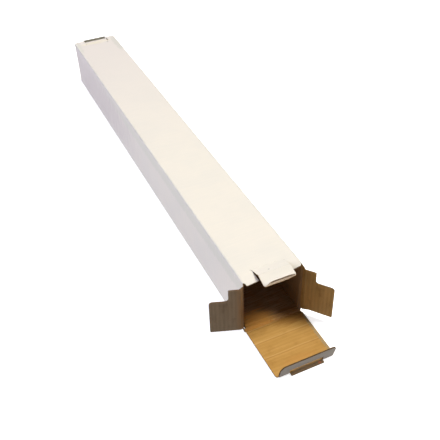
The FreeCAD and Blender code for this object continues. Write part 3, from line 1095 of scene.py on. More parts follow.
@dataclass
class Tube:
    """Four walls and the glue lap, folded from one sheet, with the near mouth's creases."""

    blank: Blank
    papers: Papers
    left_sink: float = 1.5
    right_sink: float = 3.4
    sink_reach: float = 16.0
    roll: float = 1.1
    ridges: tuple[float, float] = (3.8, 11.4)
    slant: float = 0.045
    ridge: float = 0.6
    foot_reach: float = 1.2
    right_drop: float = 4.2
    relax: float = 1.0
    wall_reach: float = 0.25
    corner_press: float = 1.7
    far_cut: float = 3.2
    lap_notch: float = 0.4
    lap_step: float = 2.5
    lap_rise: float = 6.0
    lap_slant: float = 14.0
    left_foot_end: float = 1.8
    corner_inset: float = 2.5

    def across(self, x: float) -> float:
        """Place along the girth of a point on the top panel."""
        return self.blank.height + self.blank.half_width + x

    def down(self, z: float) -> float:
        """Place along the girth of a point on the right wall."""
        return self.turn(2) + self.blank.height - z

    def under(self, x: float) -> float:
        """Place along the girth of a point on the base."""
        return self.turn(3) + self.blank.half_width - x

    def turn(self, number: int) -> float:
        """Place along the girth of a fold, counted from the left wall's lower edge."""
        height, width = self.blank.height, 2 * self.blank.half_width
        return (0.0, height, height + width, 2 * height + width, 2 * height + 2 * width - 3.0)[number]

    def tongue_gap(self, near: float, root: float, side: float) -> list[Corner]:
        """Corners of the opening that holds a tongue.

        Args:
            near: y of the panel's edge.
            root: y of the line between the slits' ends.
            side: 1 where the panel runs towards +Y from that edge, otherwise -1.

        Returns:
            Corners in the order of rising x.
        """
        blank = self.blank
        relief = blank.relief
        left = [
            (self.across(blank.tongue_left - blank.slit), near, 0.0),
            (self.across(blank.tongue_left - blank.slit), root - side * relief, 0.0),
            (self.across(blank.tongue_left - blank.slit / 2 - relief), root - side * relief, relief * 0.6),
            (self.across(blank.tongue_left - blank.slit / 2 - relief), root + side * relief, relief * 0.7),
            (self.across(blank.tongue_left + 0.1), root + side * relief, 0.0),
            (self.across(blank.tongue_left + 0.1), root + side * 2.0, 0.0),
        ]
        middle = self.across(blank.root.x)
        right = [(2 * middle - a, b, radius) for a, b, radius in reversed(left)]
        if side > 0.0:
            right = [right[0], (right[0][0], root + 0.4, 0.0), (right[-1][0], root + 0.4, 0.0), right[-1]]
        return left + right

    def lap_end(self, mouth: float, side: float) -> list[Corner]:
        """Slanted end of the glue lap, from its fold to its top; side is -1 at the far end."""
        lap = self.turn(4)
        return [
            (lap - self.lap_notch, mouth, 0.0),
            (lap + self.lap_step, mouth + side * self.lap_rise, 0.0),
            (lap + self.blank.lap_top, mouth + side * self.lap_slant, 0.0),
        ]

    def outline(self) -> Outline:
        """Outline of the tube's sheet, along the girth and the length."""
        blank = self.blank
        back = blank.cut_back
        mouth, right, end = blank.left_mouth, blank.right_mouth, blank.end_mouth
        layer = mouth - right
        notch = blank.half_width - self.corner_inset
        far, far_root = blank.far_left, blank.far(blank.root.y)
        lap = self.turn(4)
        near_side = [
            (0.0, end + back, 0.0), (self.left_foot_end, end + back, 0.0), (self.left_foot_end, mouth, 0.0),
            (blank.left_foot, mouth, 0.0), (blank.left_foot, mouth + back, 0.0),
            (blank.left_top, mouth + back, 0.0), (blank.left_top, mouth, 0.0),
            (self.across(-notch - 0.8), mouth + 2.6, 0.0), (self.across(-notch + 1.6), mouth + 1.4, 0.0),
            (self.across(-notch + 2.6), right, 0.0),
            *self.tongue_gap(right, blank.root.y, 1.0),
            (self.across(notch - layer), right, 0.0), (self.across(notch), mouth, 0.0),
            (self.down(blank.right_crease_top), mouth, 0.0),
            (self.down(blank.right_crease_top), right + back, 0.0),
            (self.down(blank.right_foot - self.right_drop), right + back, 0.0),
            (self.down(blank.right_foot - self.right_drop - 0.6), right - self.wall_reach, 0.0),
            (self.under(blank.flap_right), right - self.wall_reach, 0.0),
            (self.under(blank.flap_right), end + back, 0.0),
            (lap + self.foot_reach, end + back, 0.0), (lap + self.foot_reach, mouth - self.relax, 0.0),
            *self.lap_end(mouth, 1.0),
        ]
        cut = far - self.far_cut
        end_cut = blank.far(end) - self.far_cut
        far_side = [
            *reversed(self.lap_end(far, -1.0)),
            (lap - self.lap_notch, end_cut, 0.0), (self.under(blank.flap_right), end_cut, 0.0),
            (self.under(blank.flap_right), far, 0.0),
            (self.across(notch), far, 0.0), (self.across(notch - layer), blank.far(right), 0.0),
            *self.tongue_gap(blank.far(right), far_root, -1.0)[::-1],
            (self.across(-notch + layer), blank.far(right), 0.0), (self.across(-notch), far, 0.0),
            (blank.left_top, far, 0.0), (blank.left_top, cut, 0.0),
            (blank.left_foot, cut, 0.0), (blank.left_foot, far, 0.0), (0.0, far, 0.0),
        ]
        return Outline(tuple(near_side + far_side))

    def _dip(self, a: float, b: float, is_outer: bool = True) -> float:
        """How far the top panel's two shoulders hang down beside the tongue.

        Args:
            a: place along the girth.
            b: place along the length.
            is_outer: whether the face is the outer liner's, which rolls over the left edge.

        Returns:
            The depth below the flat panel.
        """
        blank = self.blank
        if not self.across(-blank.half_width) < a < self.across(blank.half_width):
            return 0.0
        x = a - self.across(0.0)
        left = self.left_sink * smooth(x, -blank.half_width, -blank.half_width + 5.0)
        left *= 1.0 - smooth(x, -blank.half_width + 7.0, blank.tongue_left)
        right = self.right_sink * (1.0 - smooth(x, blank.tongue_right - 6.0, blank.half_width))
        right *= smooth(x, blank.tongue_right - 0.5, blank.tongue_right)
        roll = self.roll * smooth(x, -blank.half_width + 4.0, -blank.half_width + 6.0)
        roll *= (1.0 - smooth(x, blank.tongue_left - 2.0, blank.tongue_left)) if is_outer else 0.0
        roll *= 1.0 - smooth(b - blank.right_mouth, 0.0, 1.8)
        return (left + right) * (1.0 - smooth(b - blank.right_mouth, 0.0, self.sink_reach)) + roll

    def _inner(self, a: float, b: float) -> float:
        """Depth of the inner liner, which the creases of the mouth press down."""
        blank = self.blank
        stock = blank.stock
        edges = (
            (blank.left_foot, blank.left_top, blank.left_mouth),
            (
                self.down(blank.right_crease_top), self.down(blank.right_foot - self.right_drop),
                blank.right_mouth,
            ),
            (self.under(blank.flap_right), self.turn(4) + 3.0, blank.end_mouth),
        )
        depth = stock.thickness
        for low, high, mouth in edges:
            share = smooth(a, low - 2.0, low) * (1.0 - smooth(a, high, high + 2.0))
            depth -= (stock.thickness - stock.pressed_to(b - mouth)) * share
        if a < 2.0:
            depth -= self.corner_press * smooth(blank.left_mouth - b, 0.0, 1.0)
        if a > self.turn(3) + 4.0:
            along = b - blank.end_mouth - self.slant * (a - self.under(0.0))
            depth += self.ridge * sum(bell(along, at, 0.9) for at in self.ridges)
        return depth + self._dip(a, b, False)

    def build(self) -> bpy.types.Object:
        """Make the tube and let it ride the carton."""
        blank = self.blank
        turns = [self.turn(number) for number in (1, 2, 3, 4)]
        course = Course(tuple(blank.stock.bend(at) for at in turns))
        corner = Vector((-blank.half_width, 0.0, 0.0))

        def place(a: float, b: float, n: float) -> Vector:
            """Point of the tube, in millimetres."""
            line = course
            if b < blank.left_mouth:
                flat = smooth(blank.left_mouth - b, 0.0, self.relax)
                line = Course((*course.bends[:-1], blank.stock.bend(turns[-1], 90.0 * (1.0 - flat))))
            spot = line.place(a, n, blank.stock.thickness)
            return corner + Z * spot.real + X * spot.imag + Y * b

        last = turns[-1] + blank.lap_top
        offsets = (-4.0, -3.15, -2.4, -1.6, -0.8, 0.0, 0.8, 1.6, 2.4, 3.15, 4.0)
        near_turns = [[at + step for step in offsets] for at in turns]
        lines_a = merged(even_lines(0.0, last, 9.0), *near_turns)
        far = blank.far(blank.end_mouth)
        lines_b = merged(
            even_lines(blank.end_mouth, blank.left_mouth + 8.0, 0.7),
            even_lines(blank.left_mouth + 8.0, blank.left_mouth + 36.0, 3.0),
            even_lines(blank.left_mouth + 36.0, far - 36.0, 16.0),
            even_lines(far - 36.0, far - 12.0, 3.0), even_lines(far - 12.0, far, 1.1),
        )
        root, far_root = blank.root.y, blank.far(blank.root.y)
        tongue = (self.across(blank.tongue_left), self.across(blank.tongue_right))
        seams = (
            (blank.left_foot, blank.left_top, blank.far_left - 5.0, far),
            (self.down(blank.right_crease_top), self.down(blank.right_foot), blank.far_left - 3.0, far),
            (self.under(blank.flap_right), turns[-1], blank.far_left + 0.5, far),
            (*tongue, root + 1.9, root + 2.4), (*tongue, far_root - 2.4, far_root - 1.9),
        )
        tube = Board(
            name="tube", slot=Slot.WHITE_LINED, outline=self.outline(), place=place, stock=blank.stock,
            finishes=self.papers.all(), lines_a=lines_a, lines_b=lines_b, outer=self._dip,
            inner=self._inner, seams=seams,
        ).build()
        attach(tube, "carton")
        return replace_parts(tube, "carton_body")


@dataclass
class DustFlap:
    """Side flap with the step that leaves room for the lock tongue."""

    name: str
    body: str
    blank: Blank
    papers: Papers
    still: Panel
    degrees: float
    foot: float
    shoulder: float
    top: float
    neck_reach: float
    slope_run: float
    foot_round: float
    open: bool = True
    reach: float = 54.2
    slope_rise: float = 5.0
    slope_inset: float = 0.7
    foot_drop: float = 0.0
    drop_run: float = 14.0
    double_crease: bool = False

    def outline(self) -> Outline:
        """Outline of the flap, height by distance from the hinge."""
        start = self.blank.cut_back if self.open else self.blank.closed_start
        slope = self.slope_inset + self.slope_run
        neck = self.top - self.slope_rise
        drop = ((self.foot - self.foot_drop, start, 0.0),) if self.foot_drop else ()
        return Outline((
            *drop, (self.foot, self.drop_run if drop else start, 0.0),
            (self.foot, self.reach, self.foot_round),
            (self.shoulder, self.reach, 5.5), (self.shoulder, self.neck_reach, 4.5),
            (neck, self.neck_reach, 1.5), (neck, slope, 0.0), (self.top, self.slope_inset, 0.0),
            (self.top, start, 0.0),
        ))

    def _inner(self, a: float, b: float) -> float:
        """Depth of the inner liner, pressed down beside the hinge."""
        depth = self.blank.stock.pressed_to(b)
        if self.double_crease:
            depth -= 0.35 * bell(b, 5.2, 0.5) + 0.3 * bell(b, 7.0, 0.5)
        return depth

    def build(self) -> list[bpy.types.Object]:
        """Make the flap and, where it is open, its crease."""
        stock = self.blank.stock
        near = even_lines(self.blank.cut_back, 8.0, 0.45)
        if self.open:
            place: Place = self.still.turned(self.degrees)
            seams: tuple[Seam, ...] = ()
        else:
            place = self.still.folded(Course((stock.bend(0.0),)), stock.thickness)
            near = merged(near, even_lines(self.blank.closed_start, 0.5, 0.45))
            seams = ((0.0, self.top + 1.0, -4.0, -2.9),)
        panel = Board(
            name=self.name, slot=Slot.FLAP, outline=self.outline(), place=place, stock=stock,
            finishes=self.papers.all(), lines_a=even_lines(self.foot - self.foot_drop, self.top, 5.0),
            lines_b=merged(near, even_lines(8.0, self.reach, 5.0)),
            inner=self._inner if self.open else None, seams=seams, edge_step=2.5,
        ).build()
        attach(panel, self.body)
        if not self.open:
            return [panel]
        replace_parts(panel, self.name)
        crease = Crease(
            f"{self.name}_crease", Slot.FLAP, self.still, self.degrees,
            (self.foot - self.foot_drop + 0.2, self.top - 0.2),
            ("carton", self.body), self.papers, stock,
        )
        return [panel, crease.build()]


@dataclass
class EndFlap:
    """End flap with its small tab and the tuck lip that folds over at its end."""

    blank: Blank
    papers: Papers
    lip_papers: Papers
    ridges: tuple[float, float] = (30.0, 62.0)
    ridge: float = 0.25
    lip_bulge: float = 0.5
    tab_growth: float = 1.2

    @property
    def still(self) -> Panel:
        """Frame of the base panel at the hinge."""
        return Panel(Vector((0.0, self.blank.end_mouth, 0.0)), X, -Y, Z)

    def _inner(self, a: float, b: float) -> float:
        """Depth of the flap's inner liner, pressed at both folds and raised at two ridges."""
        blank = self.blank
        depth = blank.stock.pressed_to(b)
        if not blank.tab_left - 0.1 < a < blank.tab_right + 0.1:
            depth += blank.stock.pressed_to(blank.flap_fold - b, blank.lip_press) - blank.stock.thickness
        else:
            depth -= 0.7 * smooth(b, blank.flap_fold - 2.0, blank.flap_fold + 2.0)
        return depth + sum(self.ridge * bell(b, at, 0.8) for at in self.ridges)

    def panel(self) -> bpy.types.Object:
        """Make the flap's panel."""
        blank = self.blank
        fold = blank.flap_fold - blank.lip_back
        corners = (
            (blank.flap_left, blank.cut_back, 0.0), (blank.flap_right, blank.cut_back, 0.0),
            (blank.flap_right - blank.right_taper, fold, blank.right_round), (blank.tab_right, fold, 0.0),
            (blank.tab_right, blank.flap_fold + blank.tab_reach + self.tab_growth, 0.0),
            (blank.tab_left, blank.flap_fold + blank.tab_reach + self.tab_growth, 0.0),
            (blank.tab_left, fold, 0.0), (blank.flap_left + blank.left_taper, fold, blank.left_round),
        )
        ridge_lines = [at + step for at in self.ridges for step in (-1.5, -0.8, -0.4, 0.0, 0.4, 0.8, 1.5)]
        panel = Board(
            name="end_flap", slot=Slot.FLAP, outline=Outline(corners), place=self.still, stock=blank.stock,
            finishes=self.papers.all(), lines_a=even_lines(blank.flap_left, blank.flap_right, 4.0),
            lines_b=merged(
                even_lines(blank.cut_back, 5.0, 0.5), ridge_lines, even_lines(5.0, fold - 6.0, 5.0),
                even_lines(fold - 6.0, fold, 0.5), even_lines(fold, fold + 6.7, 1.0),
            ),
            inner=self._inner, edge_step=2.5,
        ).build()
        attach(panel, "end_flap")
        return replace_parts(panel, "end_flap")

    def lip(self) -> bpy.types.Object:
        """Make the tuck lip, with its half of the lock window."""
        blank = self.blank
        start = blank.lip_back
        window = blank.window_sides
        corners = (
            (blank.lip_left, start, 0.0), (window[0], start, 0.0), (window[0], blank.window, 0.0),
            (window[1], blank.window, 0.0), (window[1], start, 0.0), (blank.lip_right, start, 0.0),
            (blank.lip_right + self.lip_bulge, blank.window, 6.0),
            (blank.lip_right + self.lip_bulge, blank.lip_length, 8.0),
            (blank.lip_left + 5.0, blank.lip_length, 3.0),
            (blank.lip_left, blank.lip_length - 9.0, 3.0),
        )
        lip = Board(
            name="tuck_lip", slot=Slot.FLAP, outline=Outline(corners),
            place=self.still.turned(blank.lip_bend, blank.flap_fold), stock=blank.stock,
            finishes=self.lip_papers.all(), lines_a=even_lines(blank.lip_left, blank.lip_right, 4.0),
            lines_b=merged(even_lines(start, 6.0, 0.5), even_lines(6.0, blank.lip_length, 3.0)),
            inner=lambda a, b: blank.stock.pressed_to(b, blank.lip_press), edge_step=2.0,
        ).build()
        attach(lip, "tuck_lip")
        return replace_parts(lip, "tuck_lip")

    def build(self) -> list[bpy.types.Object]:
        """Make the flap, its lip and the creases of both."""
        blank = self.blank
        hinge = Crease(
            "end_flap_crease", Slot.FLAP, self.still, 0.0, (blank.flap_left + 0.3, blank.flap_right - 0.3),
            ("carton", "end_flap"), self.papers, blank.stock,
        )
        at_fold = self.still.turned(0.0, blank.flap_fold)
        window = blank.window_sides
        folds = [
            Crease(
                f"lip_crease_{name}", Slot.FLAP, at_fold, blank.lip_bend, span, ("end_flap", "tuck_lip"),
                self.lip_papers, blank.stock,
            ).build()
            for name, span in (
                ("left", (blank.lip_left + 0.2, window[0] - 0.2)),
                ("right", (window[1] + 0.2, blank.lip_right - 0.2)),
            )
        ]
        return [self.panel(), self.lip(), hinge.build(), *folds]


@dataclass
class LockTongue:
    """Tongue of the open end, sprung up, with the liners of its tip sprung apart."""

    blank: Blank
    papers: Papers
    tip_papers: Papers
    hump: float = 4.1
    droop: float = 4.8
    arch: float = 3.9
    sag: float = 0.3
    roll: float = 1.4
    split: float = 5.0
    draw: float = 0.15
    length: float = 41.0
    fold_gap: float = 0.01

    def _grain(self, a: float, b: float) -> tuple[float, float]:
        """Place of the tongue in the top panel's pattern."""
        blank = self.blank
        return blank.height + blank.half_width + blank.root.x + a, blank.root.y - b

    @property
    def still(self) -> Panel:
        """Frame of the top panel at the line between the slits' ends."""
        top = self.blank.root + Z * (self.blank.stock.thickness / 2)
        return Panel(top, X, -Y, -Z)

    @property
    def raised(self) -> Panel:
        """Frame of the tongue as it stands at rest."""
        return self.still.turned(-self.blank.tongue_raise, 0.0, self.blank.stock.thickness / 2)

    @property
    def tip_length(self) -> float:
        """Length of the tongue beyond its crease."""
        return self.length - self.blank.crease_reach

    def _lift(self, b: float) -> float:
        """Height of the bent tongue above its straight plane, at a distance from its root."""
        reach = self.blank.crease_reach
        if b < reach:
            start = self.blank.flex_half
            return self.hump * max(0.0, b - start) / (reach - start)
        return self.hump - (self.hump + self.droop) * (b - reach) / self.tip_length

    def _grown(self, b: float) -> float:
        """Share of the full opening of the tip's liners, at a distance from the crease."""
        share = min(max((b - self.tip_length + 1.7 * self.split) / (1.7 * self.split), 0.0), 1.0)
        return share * share

    def _outer(self, a: float, b: float) -> float:
        """Depth of the tip's outer liner, which arches up and rolls over the left corner."""
        half = self.blank.tongue_half
        arch = self.arch * (1.0 - ((a - 0.1 * half) / (1.05 * half)) ** 4) * self._grown(b)
        corner = smooth(-a, 0.62 * half, 0.80 * half) * smooth(b, self.tip_length - 4.0, self.tip_length)
        return self.roll * corner - arch - self._lift(b + self.blank.crease_reach)

    def _inner(self, a: float, b: float) -> float:
        """Depth of the tip's inner liner, which sags and draws up to the right."""
        half = self.blank.tongue_half
        sag = self.sag - 2.2 * smooth(a, 0.4 * half, 1.2 * half)
        lift = self._lift(b + self.blank.crease_reach)
        return self.blank.stock.pressed_to(b) + sag * self._grown(b) - lift

    def root(self) -> bpy.types.Object:
        """Make the tongue between the slits' ends and its crease."""
        blank = self.blank
        half, start, end = blank.tongue_half, 2.0, blank.crease_reach - self.fold_gap
        corners = ((-half, start, 0.0), (half, start, 0.0), (half, end, 0.0), (-half, end, 0.0))
        root = Board(
            name="lock_tongue_root", slot=Slot.WHITE_LINED, outline=Outline(corners), place=self.raised,
            stock=blank.stock, finishes=self.papers.all(), lines_a=even_lines(-half, half, 4.0),
            lines_b=merged(even_lines(start, end - 4.0, 3.0), even_lines(end - 4.0, end, 0.5)),
            outer=lambda a, b: -self._lift(b),
            inner=lambda a, b: blank.stock.pressed_to(blank.crease_reach - b) - self._lift(b),
            seams=((-half - 1, half + 1, start - 0.5, start + 0.5),), grain=self._grain, edge_step=2.0,
        ).build()
        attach(root, "lock_tongue_root")
        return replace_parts(root, "lock_tongue_root")

    def _drawn(self) -> Place:
        """Place on the tip, whose upper liner ends a little behind the lower one."""
        panel = self.raised.turned(0.0, self.blank.crease_reach)

        def place(a: float, b: float, n: float) -> Vector:
            """Point of the tip, in millimetres."""
            lowest = self._inner(a, b)
            return panel(a, b - self.draw * self._grown(b) * max(0.0, lowest - n), n)

        return place

    def tip(self) -> bpy.types.Object:
        """Make the tongue beyond its crease, with its end come apart like two lips."""
        blank = self.blank
        half, start, end = blank.tongue_half, self.fold_gap, self.tip_length
        corners = ((-half, start, 0.0), (half, start, 0.0), (half, end, 2.0), (-half, end, 3.6))

        def depth(a: float, b: float) -> float:
            """How deep the edge stands open."""
            if b < end - 0.2 or not -0.66 * half < a < half - 2.6:
                return 0.5
            return 0.5 + (self.split - 0.5) * math.sqrt(1.0 - (a / (half - 2.6)) ** 2)

        tip = Board(
            name="lock_tongue_tip", slot=Slot.WHITE_LINED, outline=Outline(corners), place=self._drawn(),
            stock=blank.stock, finishes=self.tip_papers.all(), lines_a=even_lines(-half, half, 2.0),
            lines_b=merged(even_lines(start, 4.5, 0.5), even_lines(4.5, end, 1.2)),
            outer=self._outer, inner=self._inner,
            open_depth=depth, leaf=lambda a, b: 0.8 if b > end - 0.2 else 0.4, rings=8, edge_step=1.2,
            grain=lambda a, b: self._grain(a, b + blank.crease_reach),
        ).build()
        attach(tip, "lock_tongue_tip")
        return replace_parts(tip, "lock_tongue_tip")

    def medium(self) -> bpy.types.Object:
        """Make the middle paper of the tip's board, left between the two liners."""
        half = 0.70 * self.blank.tongue_half
        start, end = self.tip_length - self.split, self.tip_length - 0.4
        corners = (
            (-half, start, 0.0), (1.2 * half, start, 0.0), (1.2 * half, end, 1.0), (-half, end, 1.0)
        )

        def level(a: float, b: float) -> float:
            """Depth of the paper, nearer to the lower liner."""
            return 0.36 * self._outer(a, b) + 0.64 * self._inner(a, b) + 0.12 * math.sin(0.9 * a)

        medium = Board(
            name="tongue_medium", slot=Slot.WHITE_LINED, outline=Outline(corners), place=self._drawn(),
            stock=self.blank.stock, finishes=(self.tip_papers.cut,) * 3, lines_a=even_lines(-half, half, 2.0),
            lines_b=even_lines(start, end, 1.0), outer=lambda a, b: level(a, b) - 0.2,
            inner=lambda a, b: level(a, b) + 0.2, open_depth=lambda a, b: 0.05, edge_step=1.2,
        ).build()
        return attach(medium, "lock_tongue_tip")

    def build(self) -> list[bpy.types.Object]:
        """Make both halves of the tongue, its crease and the strip that flexes at its root."""
        blank = self.blank
        thickness = blank.stock.thickness
        half = blank.tongue_half
        flex = Crease(
            "tongue_flex", Slot.WHITE_LINED, self.still, -blank.tongue_raise, (-half, half),
            ("carton", "lock_tongue_root"), self.papers, blank.stock,
            levels=(0.03, thickness - 0.03), half=blank.flex_half, turn_half=2.0,
            pivot=thickness / 2, grain=self._grain,
        )
        crease = Crease(
            "tongue_crease", Slot.WHITE_LINED, self.raised.turned(0.0, blank.crease_reach), 0.0,
            (-half + 0.2, half - 0.2), ("lock_tongue_root", "lock_tongue_tip"), self.papers, blank.stock,
            lift=lambda b: self._lift(b + blank.crease_reach),
            grain=lambda a, b: self._grain(a, b + blank.crease_reach),
        )
        return [self.root(), self.tip(), self.medium(), flex.build(), crease.build()]


@dataclass
class ClosedEnd:
    """Far end, closed and locked: dust flaps, end flap with its lip and tab, and the tongue."""

    blank: Blank
    papers: Papers
    flap_papers: Papers

    def _dust_flaps(self) -> list[bpy.types.Object]:
        """Make the two dust flaps."""
        blank = self.blank
        left = blank.wall(-1.0, blank.far_left, Y)
        right = blank.wall(1.0, blank.far(blank.right_mouth), Y)
        made = []
        for side, panel, *shape in (
            ("left", left, *blank.left_flap()), ("right", right, *blank.right_flap())
        ):
            flap = DustFlap(
                f"far_{side}_dust_flap", "carton", blank, self.flap_papers, panel, 90.0, *shape, open=False,
            )
            made += flap.build()
        return made

    def _end_flap(self) -> list[bpy.types.Object]:
        """Make the end flap with its tucked lip, and the tab that stays in line with it."""
        blank = self.blank
        thickness = blank.stock.thickness
        still = Panel(Vector((0.0, blank.far(blank.end_mouth), 0.0)), X, Y, Z)
        fold, start = blank.flap_fold, blank.closed_start
        course = Course((blank.stock.bend(0.0), blank.stock.bend(fold, blank.far_lip_bend)))
        end = fold + blank.lip_length
        corners = (
            (blank.flap_left, start, 0.0), (blank.flap_right, start, 0.0),
            (blank.flap_right - blank.right_taper, fold - 3.0, 0.0),
            (blank.lip_right, fold - 1.0, 0.0),
            (blank.lip_right, end, 9.0), (blank.lip_left + 5.0, end, 3.0),
            (blank.lip_left, end - 9.0, 3.0), (blank.lip_left, fold - 1.0, 0.0),
            (blank.flap_left + blank.left_taper, fold - 3.0, 0.0),
        )
        seam = fold - 4.0
        wide = blank.window_sides
        hole = Outline((
            (blank.tab_left, seam, 0.0), (blank.tab_right, seam, 0.0), (blank.tab_right, fold, 0.0),
            (wide[1], fold, 0.0), (wide[1], fold + blank.window, 0.0), (wide[0], fold + blank.window, 0.0),
            (wide[0], fold, 0.0), (blank.tab_left, fold, 0.0),
        ))
        lines_b = merged(
            even_lines(start, 3.6, 0.45), even_lines(3.6, fold - 4.5, 6.0),
            even_lines(fold - 4.5, fold + 4.5, 0.45), even_lines(fold + 4.5, end, 4.0),
        )
        seams = (
            (blank.flap_left - 1, blank.flap_right + 1, start - 1, start + 0.4),
            (blank.tab_left - 0.1, blank.tab_right + 0.1, seam - 0.4, fold),
        )
        panel = Board(
            name="far_end_flap", slot=Slot.WHITE_LINED, outline=Outline(corners), holes=(hole,),
            place=still.folded(course, thickness), stock=blank.stock, finishes=self.papers.all(),
            lines_a=even_lines(blank.flap_left, blank.flap_right, 6.0), lines_b=lines_b, seams=seams,
        ).build()
        tab_corners = (
            (blank.tab_left + 0.02, seam - 0.1, 0.0), (blank.tab_right - 0.02, seam - 0.1, 0.0),
            (blank.tab_right - 0.02, fold + blank.tab_reach, 0.0),
            (blank.tab_left + 0.02, fold + blank.tab_reach, 0.0),
        )
        tab = Board(
            name="far_tab", slot=Slot.WHITE_LINED, outline=Outline(tab_corners),
            place=still.folded(Course((blank.stock.bend(0.0),)), thickness), stock=blank.stock,
            finishes=self.papers.all(), lines_a=even_lines(blank.tab_left, blank.tab_right, 4.0),
            lines_b=even_lines(seam - 0.1, fold + blank.tab_reach, 1.0),
            outer=lambda a, b: 0.03, inner=lambda a, b: thickness - 0.03,
            seams=((blank.tab_left - 1, blank.tab_right + 1, seam - 0.4, seam + 0.4),),
        ).build()
        return [panel, tab]

    def _tongue(self) -> bpy.types.Object:
        """Make the locked tongue: its root slopes down and its tip hangs behind the end flap."""
        blank = self.blank
        thickness = blank.stock.thickness
        flex = blank.flex_half
        top = Vector((blank.root.x, blank.far(blank.root.y), blank.height))
        still = Panel(top, X, Y, -Z)
        pressed = still.turned(blank.tongue_press, 0.0, thickness / 2)
        fall = blank.stock.bend(blank.crease_reach, 90.0 - blank.tongue_press)
        hanging = pressed.folded(Course((fall,)), thickness)
        flexed = still.flexed(blank.tongue_press, 2.0, thickness / 2)

        def place(a: float, b: float, n: float) -> Vector:
            """Point of the tongue, in millimetres."""
            return flexed(a, b, n) if b < flex else hanging(a, b, n)

        half = blank.tongue_half
        corners = (
            (-half, -flex, 0.0), (half, -flex, 0.0), (half, blank.tongue_length, 2.0),
            (-half, blank.tongue_length, 2.0),
        )
        fold = blank.crease_reach
        tongue = Board(
            name="far_lock_tongue", slot=Slot.WHITE_LINED, outline=Outline(corners), place=place,
            stock=blank.stock, finishes=self.papers.all(), lines_a=even_lines(-half, half, 5.0),
            lines_b=merged(
                even_lines(-flex, flex, 0.4), even_lines(flex, fold - 4.0, 3.0),
                even_lines(fold - 4.0, fold + 4.0, 0.45),
                even_lines(fold + 4.0, blank.tongue_length, 3.0),
            ),
            outer=lambda a, b: 0.03, inner=lambda a, b: thickness - 0.03,
            seams=((-half - 1, half + 1, -3.0, -1.9),), edge_step=2.0,
            grain=lambda a, b: (
                blank.height + blank.half_width + blank.root.x + a, blank.far(blank.root.y) + b
            ),
        ).build()
        return tongue

    def build(self) -> list[bpy.types.Object]:
        """Make the closed end and let it ride the carton."""
        made = self._dust_flaps()
        for piece in (*self._end_flap(), self._tongue()):
            made.append(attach(piece, "carton"))
        return made


# ---------------------------------------------------------------- studio


@dataclass
class Studio:
    """Camera, pale floor and soft light."""

    position: Vector = field(default_factory=lambda: Vector((-0.3638, -1.1271, 0.8220)))
    yaw: float = 23.506
    pitch: float = 39.620
    roll: float = -2.273
    lens: float = 53.564
    sensor: float = 36.0
    key: float = 3.0
    key_spread: float = 24.0
    key_from: Vector = field(default_factory=lambda: Vector((0.53, -0.08, 0.88)))
    side: float = 2.2
    side_spread: float = 45.0
    side_from: Vector = field(default_factory=lambda: Vector((-0.87, 0.28, 0.40)))
    sky: float = 0.08
    bounce: float = 0.38
    horizon: float = 0.12

    def camera(self) -> bpy.types.Object:
        """Place the camera and make it the scene's."""
        yaw, pitch, roll = (math.radians(angle) for angle in (self.yaw, self.pitch, self.roll))
        flat = math.cos(pitch)
        ahead = Vector((math.sin(yaw) * flat, math.cos(yaw) * flat, -math.sin(pitch)))
        level = Vector((math.cos(yaw), -math.sin(yaw), 0.0))
        upright = level.cross(ahead)
        right = level * math.cos(roll) + upright * math.sin(roll)
        up = upright * math.cos(roll) - level * math.sin(roll)
        data = bpy.data.cameras.new("camera")
        data.lens = self.lens
        data.sensor_width = self.sensor
        camera = in_scene("camera", data)
        turn = Matrix((right, up, -ahead)).transposed()
        camera.matrix_world = Matrix.Translation(self.position) @ turn.to_4x4()
        bpy.context.scene.camera = camera
        return camera

    def floor(self, half: float = 6.0) -> bpy.types.Object:
        """Lay the floor that the box stands on."""
        mesh = bpy.data.meshes.new("floor")
        level = -0.0002
        corners = [(-half, -half, level), (half, -half, level), (half, half, level), (-half, half, level)]
        mesh.from_pydata(corners, [], [(0, 1, 2, 3)])
        mesh.materials.append(StudioPaper().build())
        floor = in_scene("floor", mesh)
        floor.visible_diffuse = False
        return floor

    def light(self) -> None:
        """Hang the soft key light, the cooler light from the left, and fill the world."""
        for name, power, origin, spread, colour in (
            ("key", self.key, self.key_from, self.key_spread, (1.0, 0.985, 0.93)),
            ("side", self.side, self.side_from, self.side_spread, (0.80, 0.81, 1.0)),
        ):
            data = bpy.data.lights.new(name, "SUN")
            data.energy = power
            data.angle = math.radians(spread)
            data.color = colour
            in_scene(name, data).rotation_euler = origin.to_track_quat("Z", "Y").to_euler()
        world = bpy.data.worlds.new("studio")
        world.use_nodes = True
        graph = Graph(world.node_tree)
        height = graph.add("ShaderNodeTexCoord", {}, {}, "Generated", Tint).part(2)
        level = graph.add("ShaderNodeMapRange", {}, {
            "Value": height, "From Min": -self.horizon, "From Max": self.horizon,
            "To Min": self.bounce, "To Max": self.sky,
        })
        background = graph.nodes["Background"]
        graph.feed(background.inputs["Strength"], level)
        graph.feed(background.inputs["Color"], (1.0, 1.0, 1.0))
        bpy.context.scene.world = world

    def build(self) -> None:
        """Set up the studio."""
        self.camera()
        self.floor()
        self.light()
        bpy.context.scene.view_settings.view_transform = "Standard"


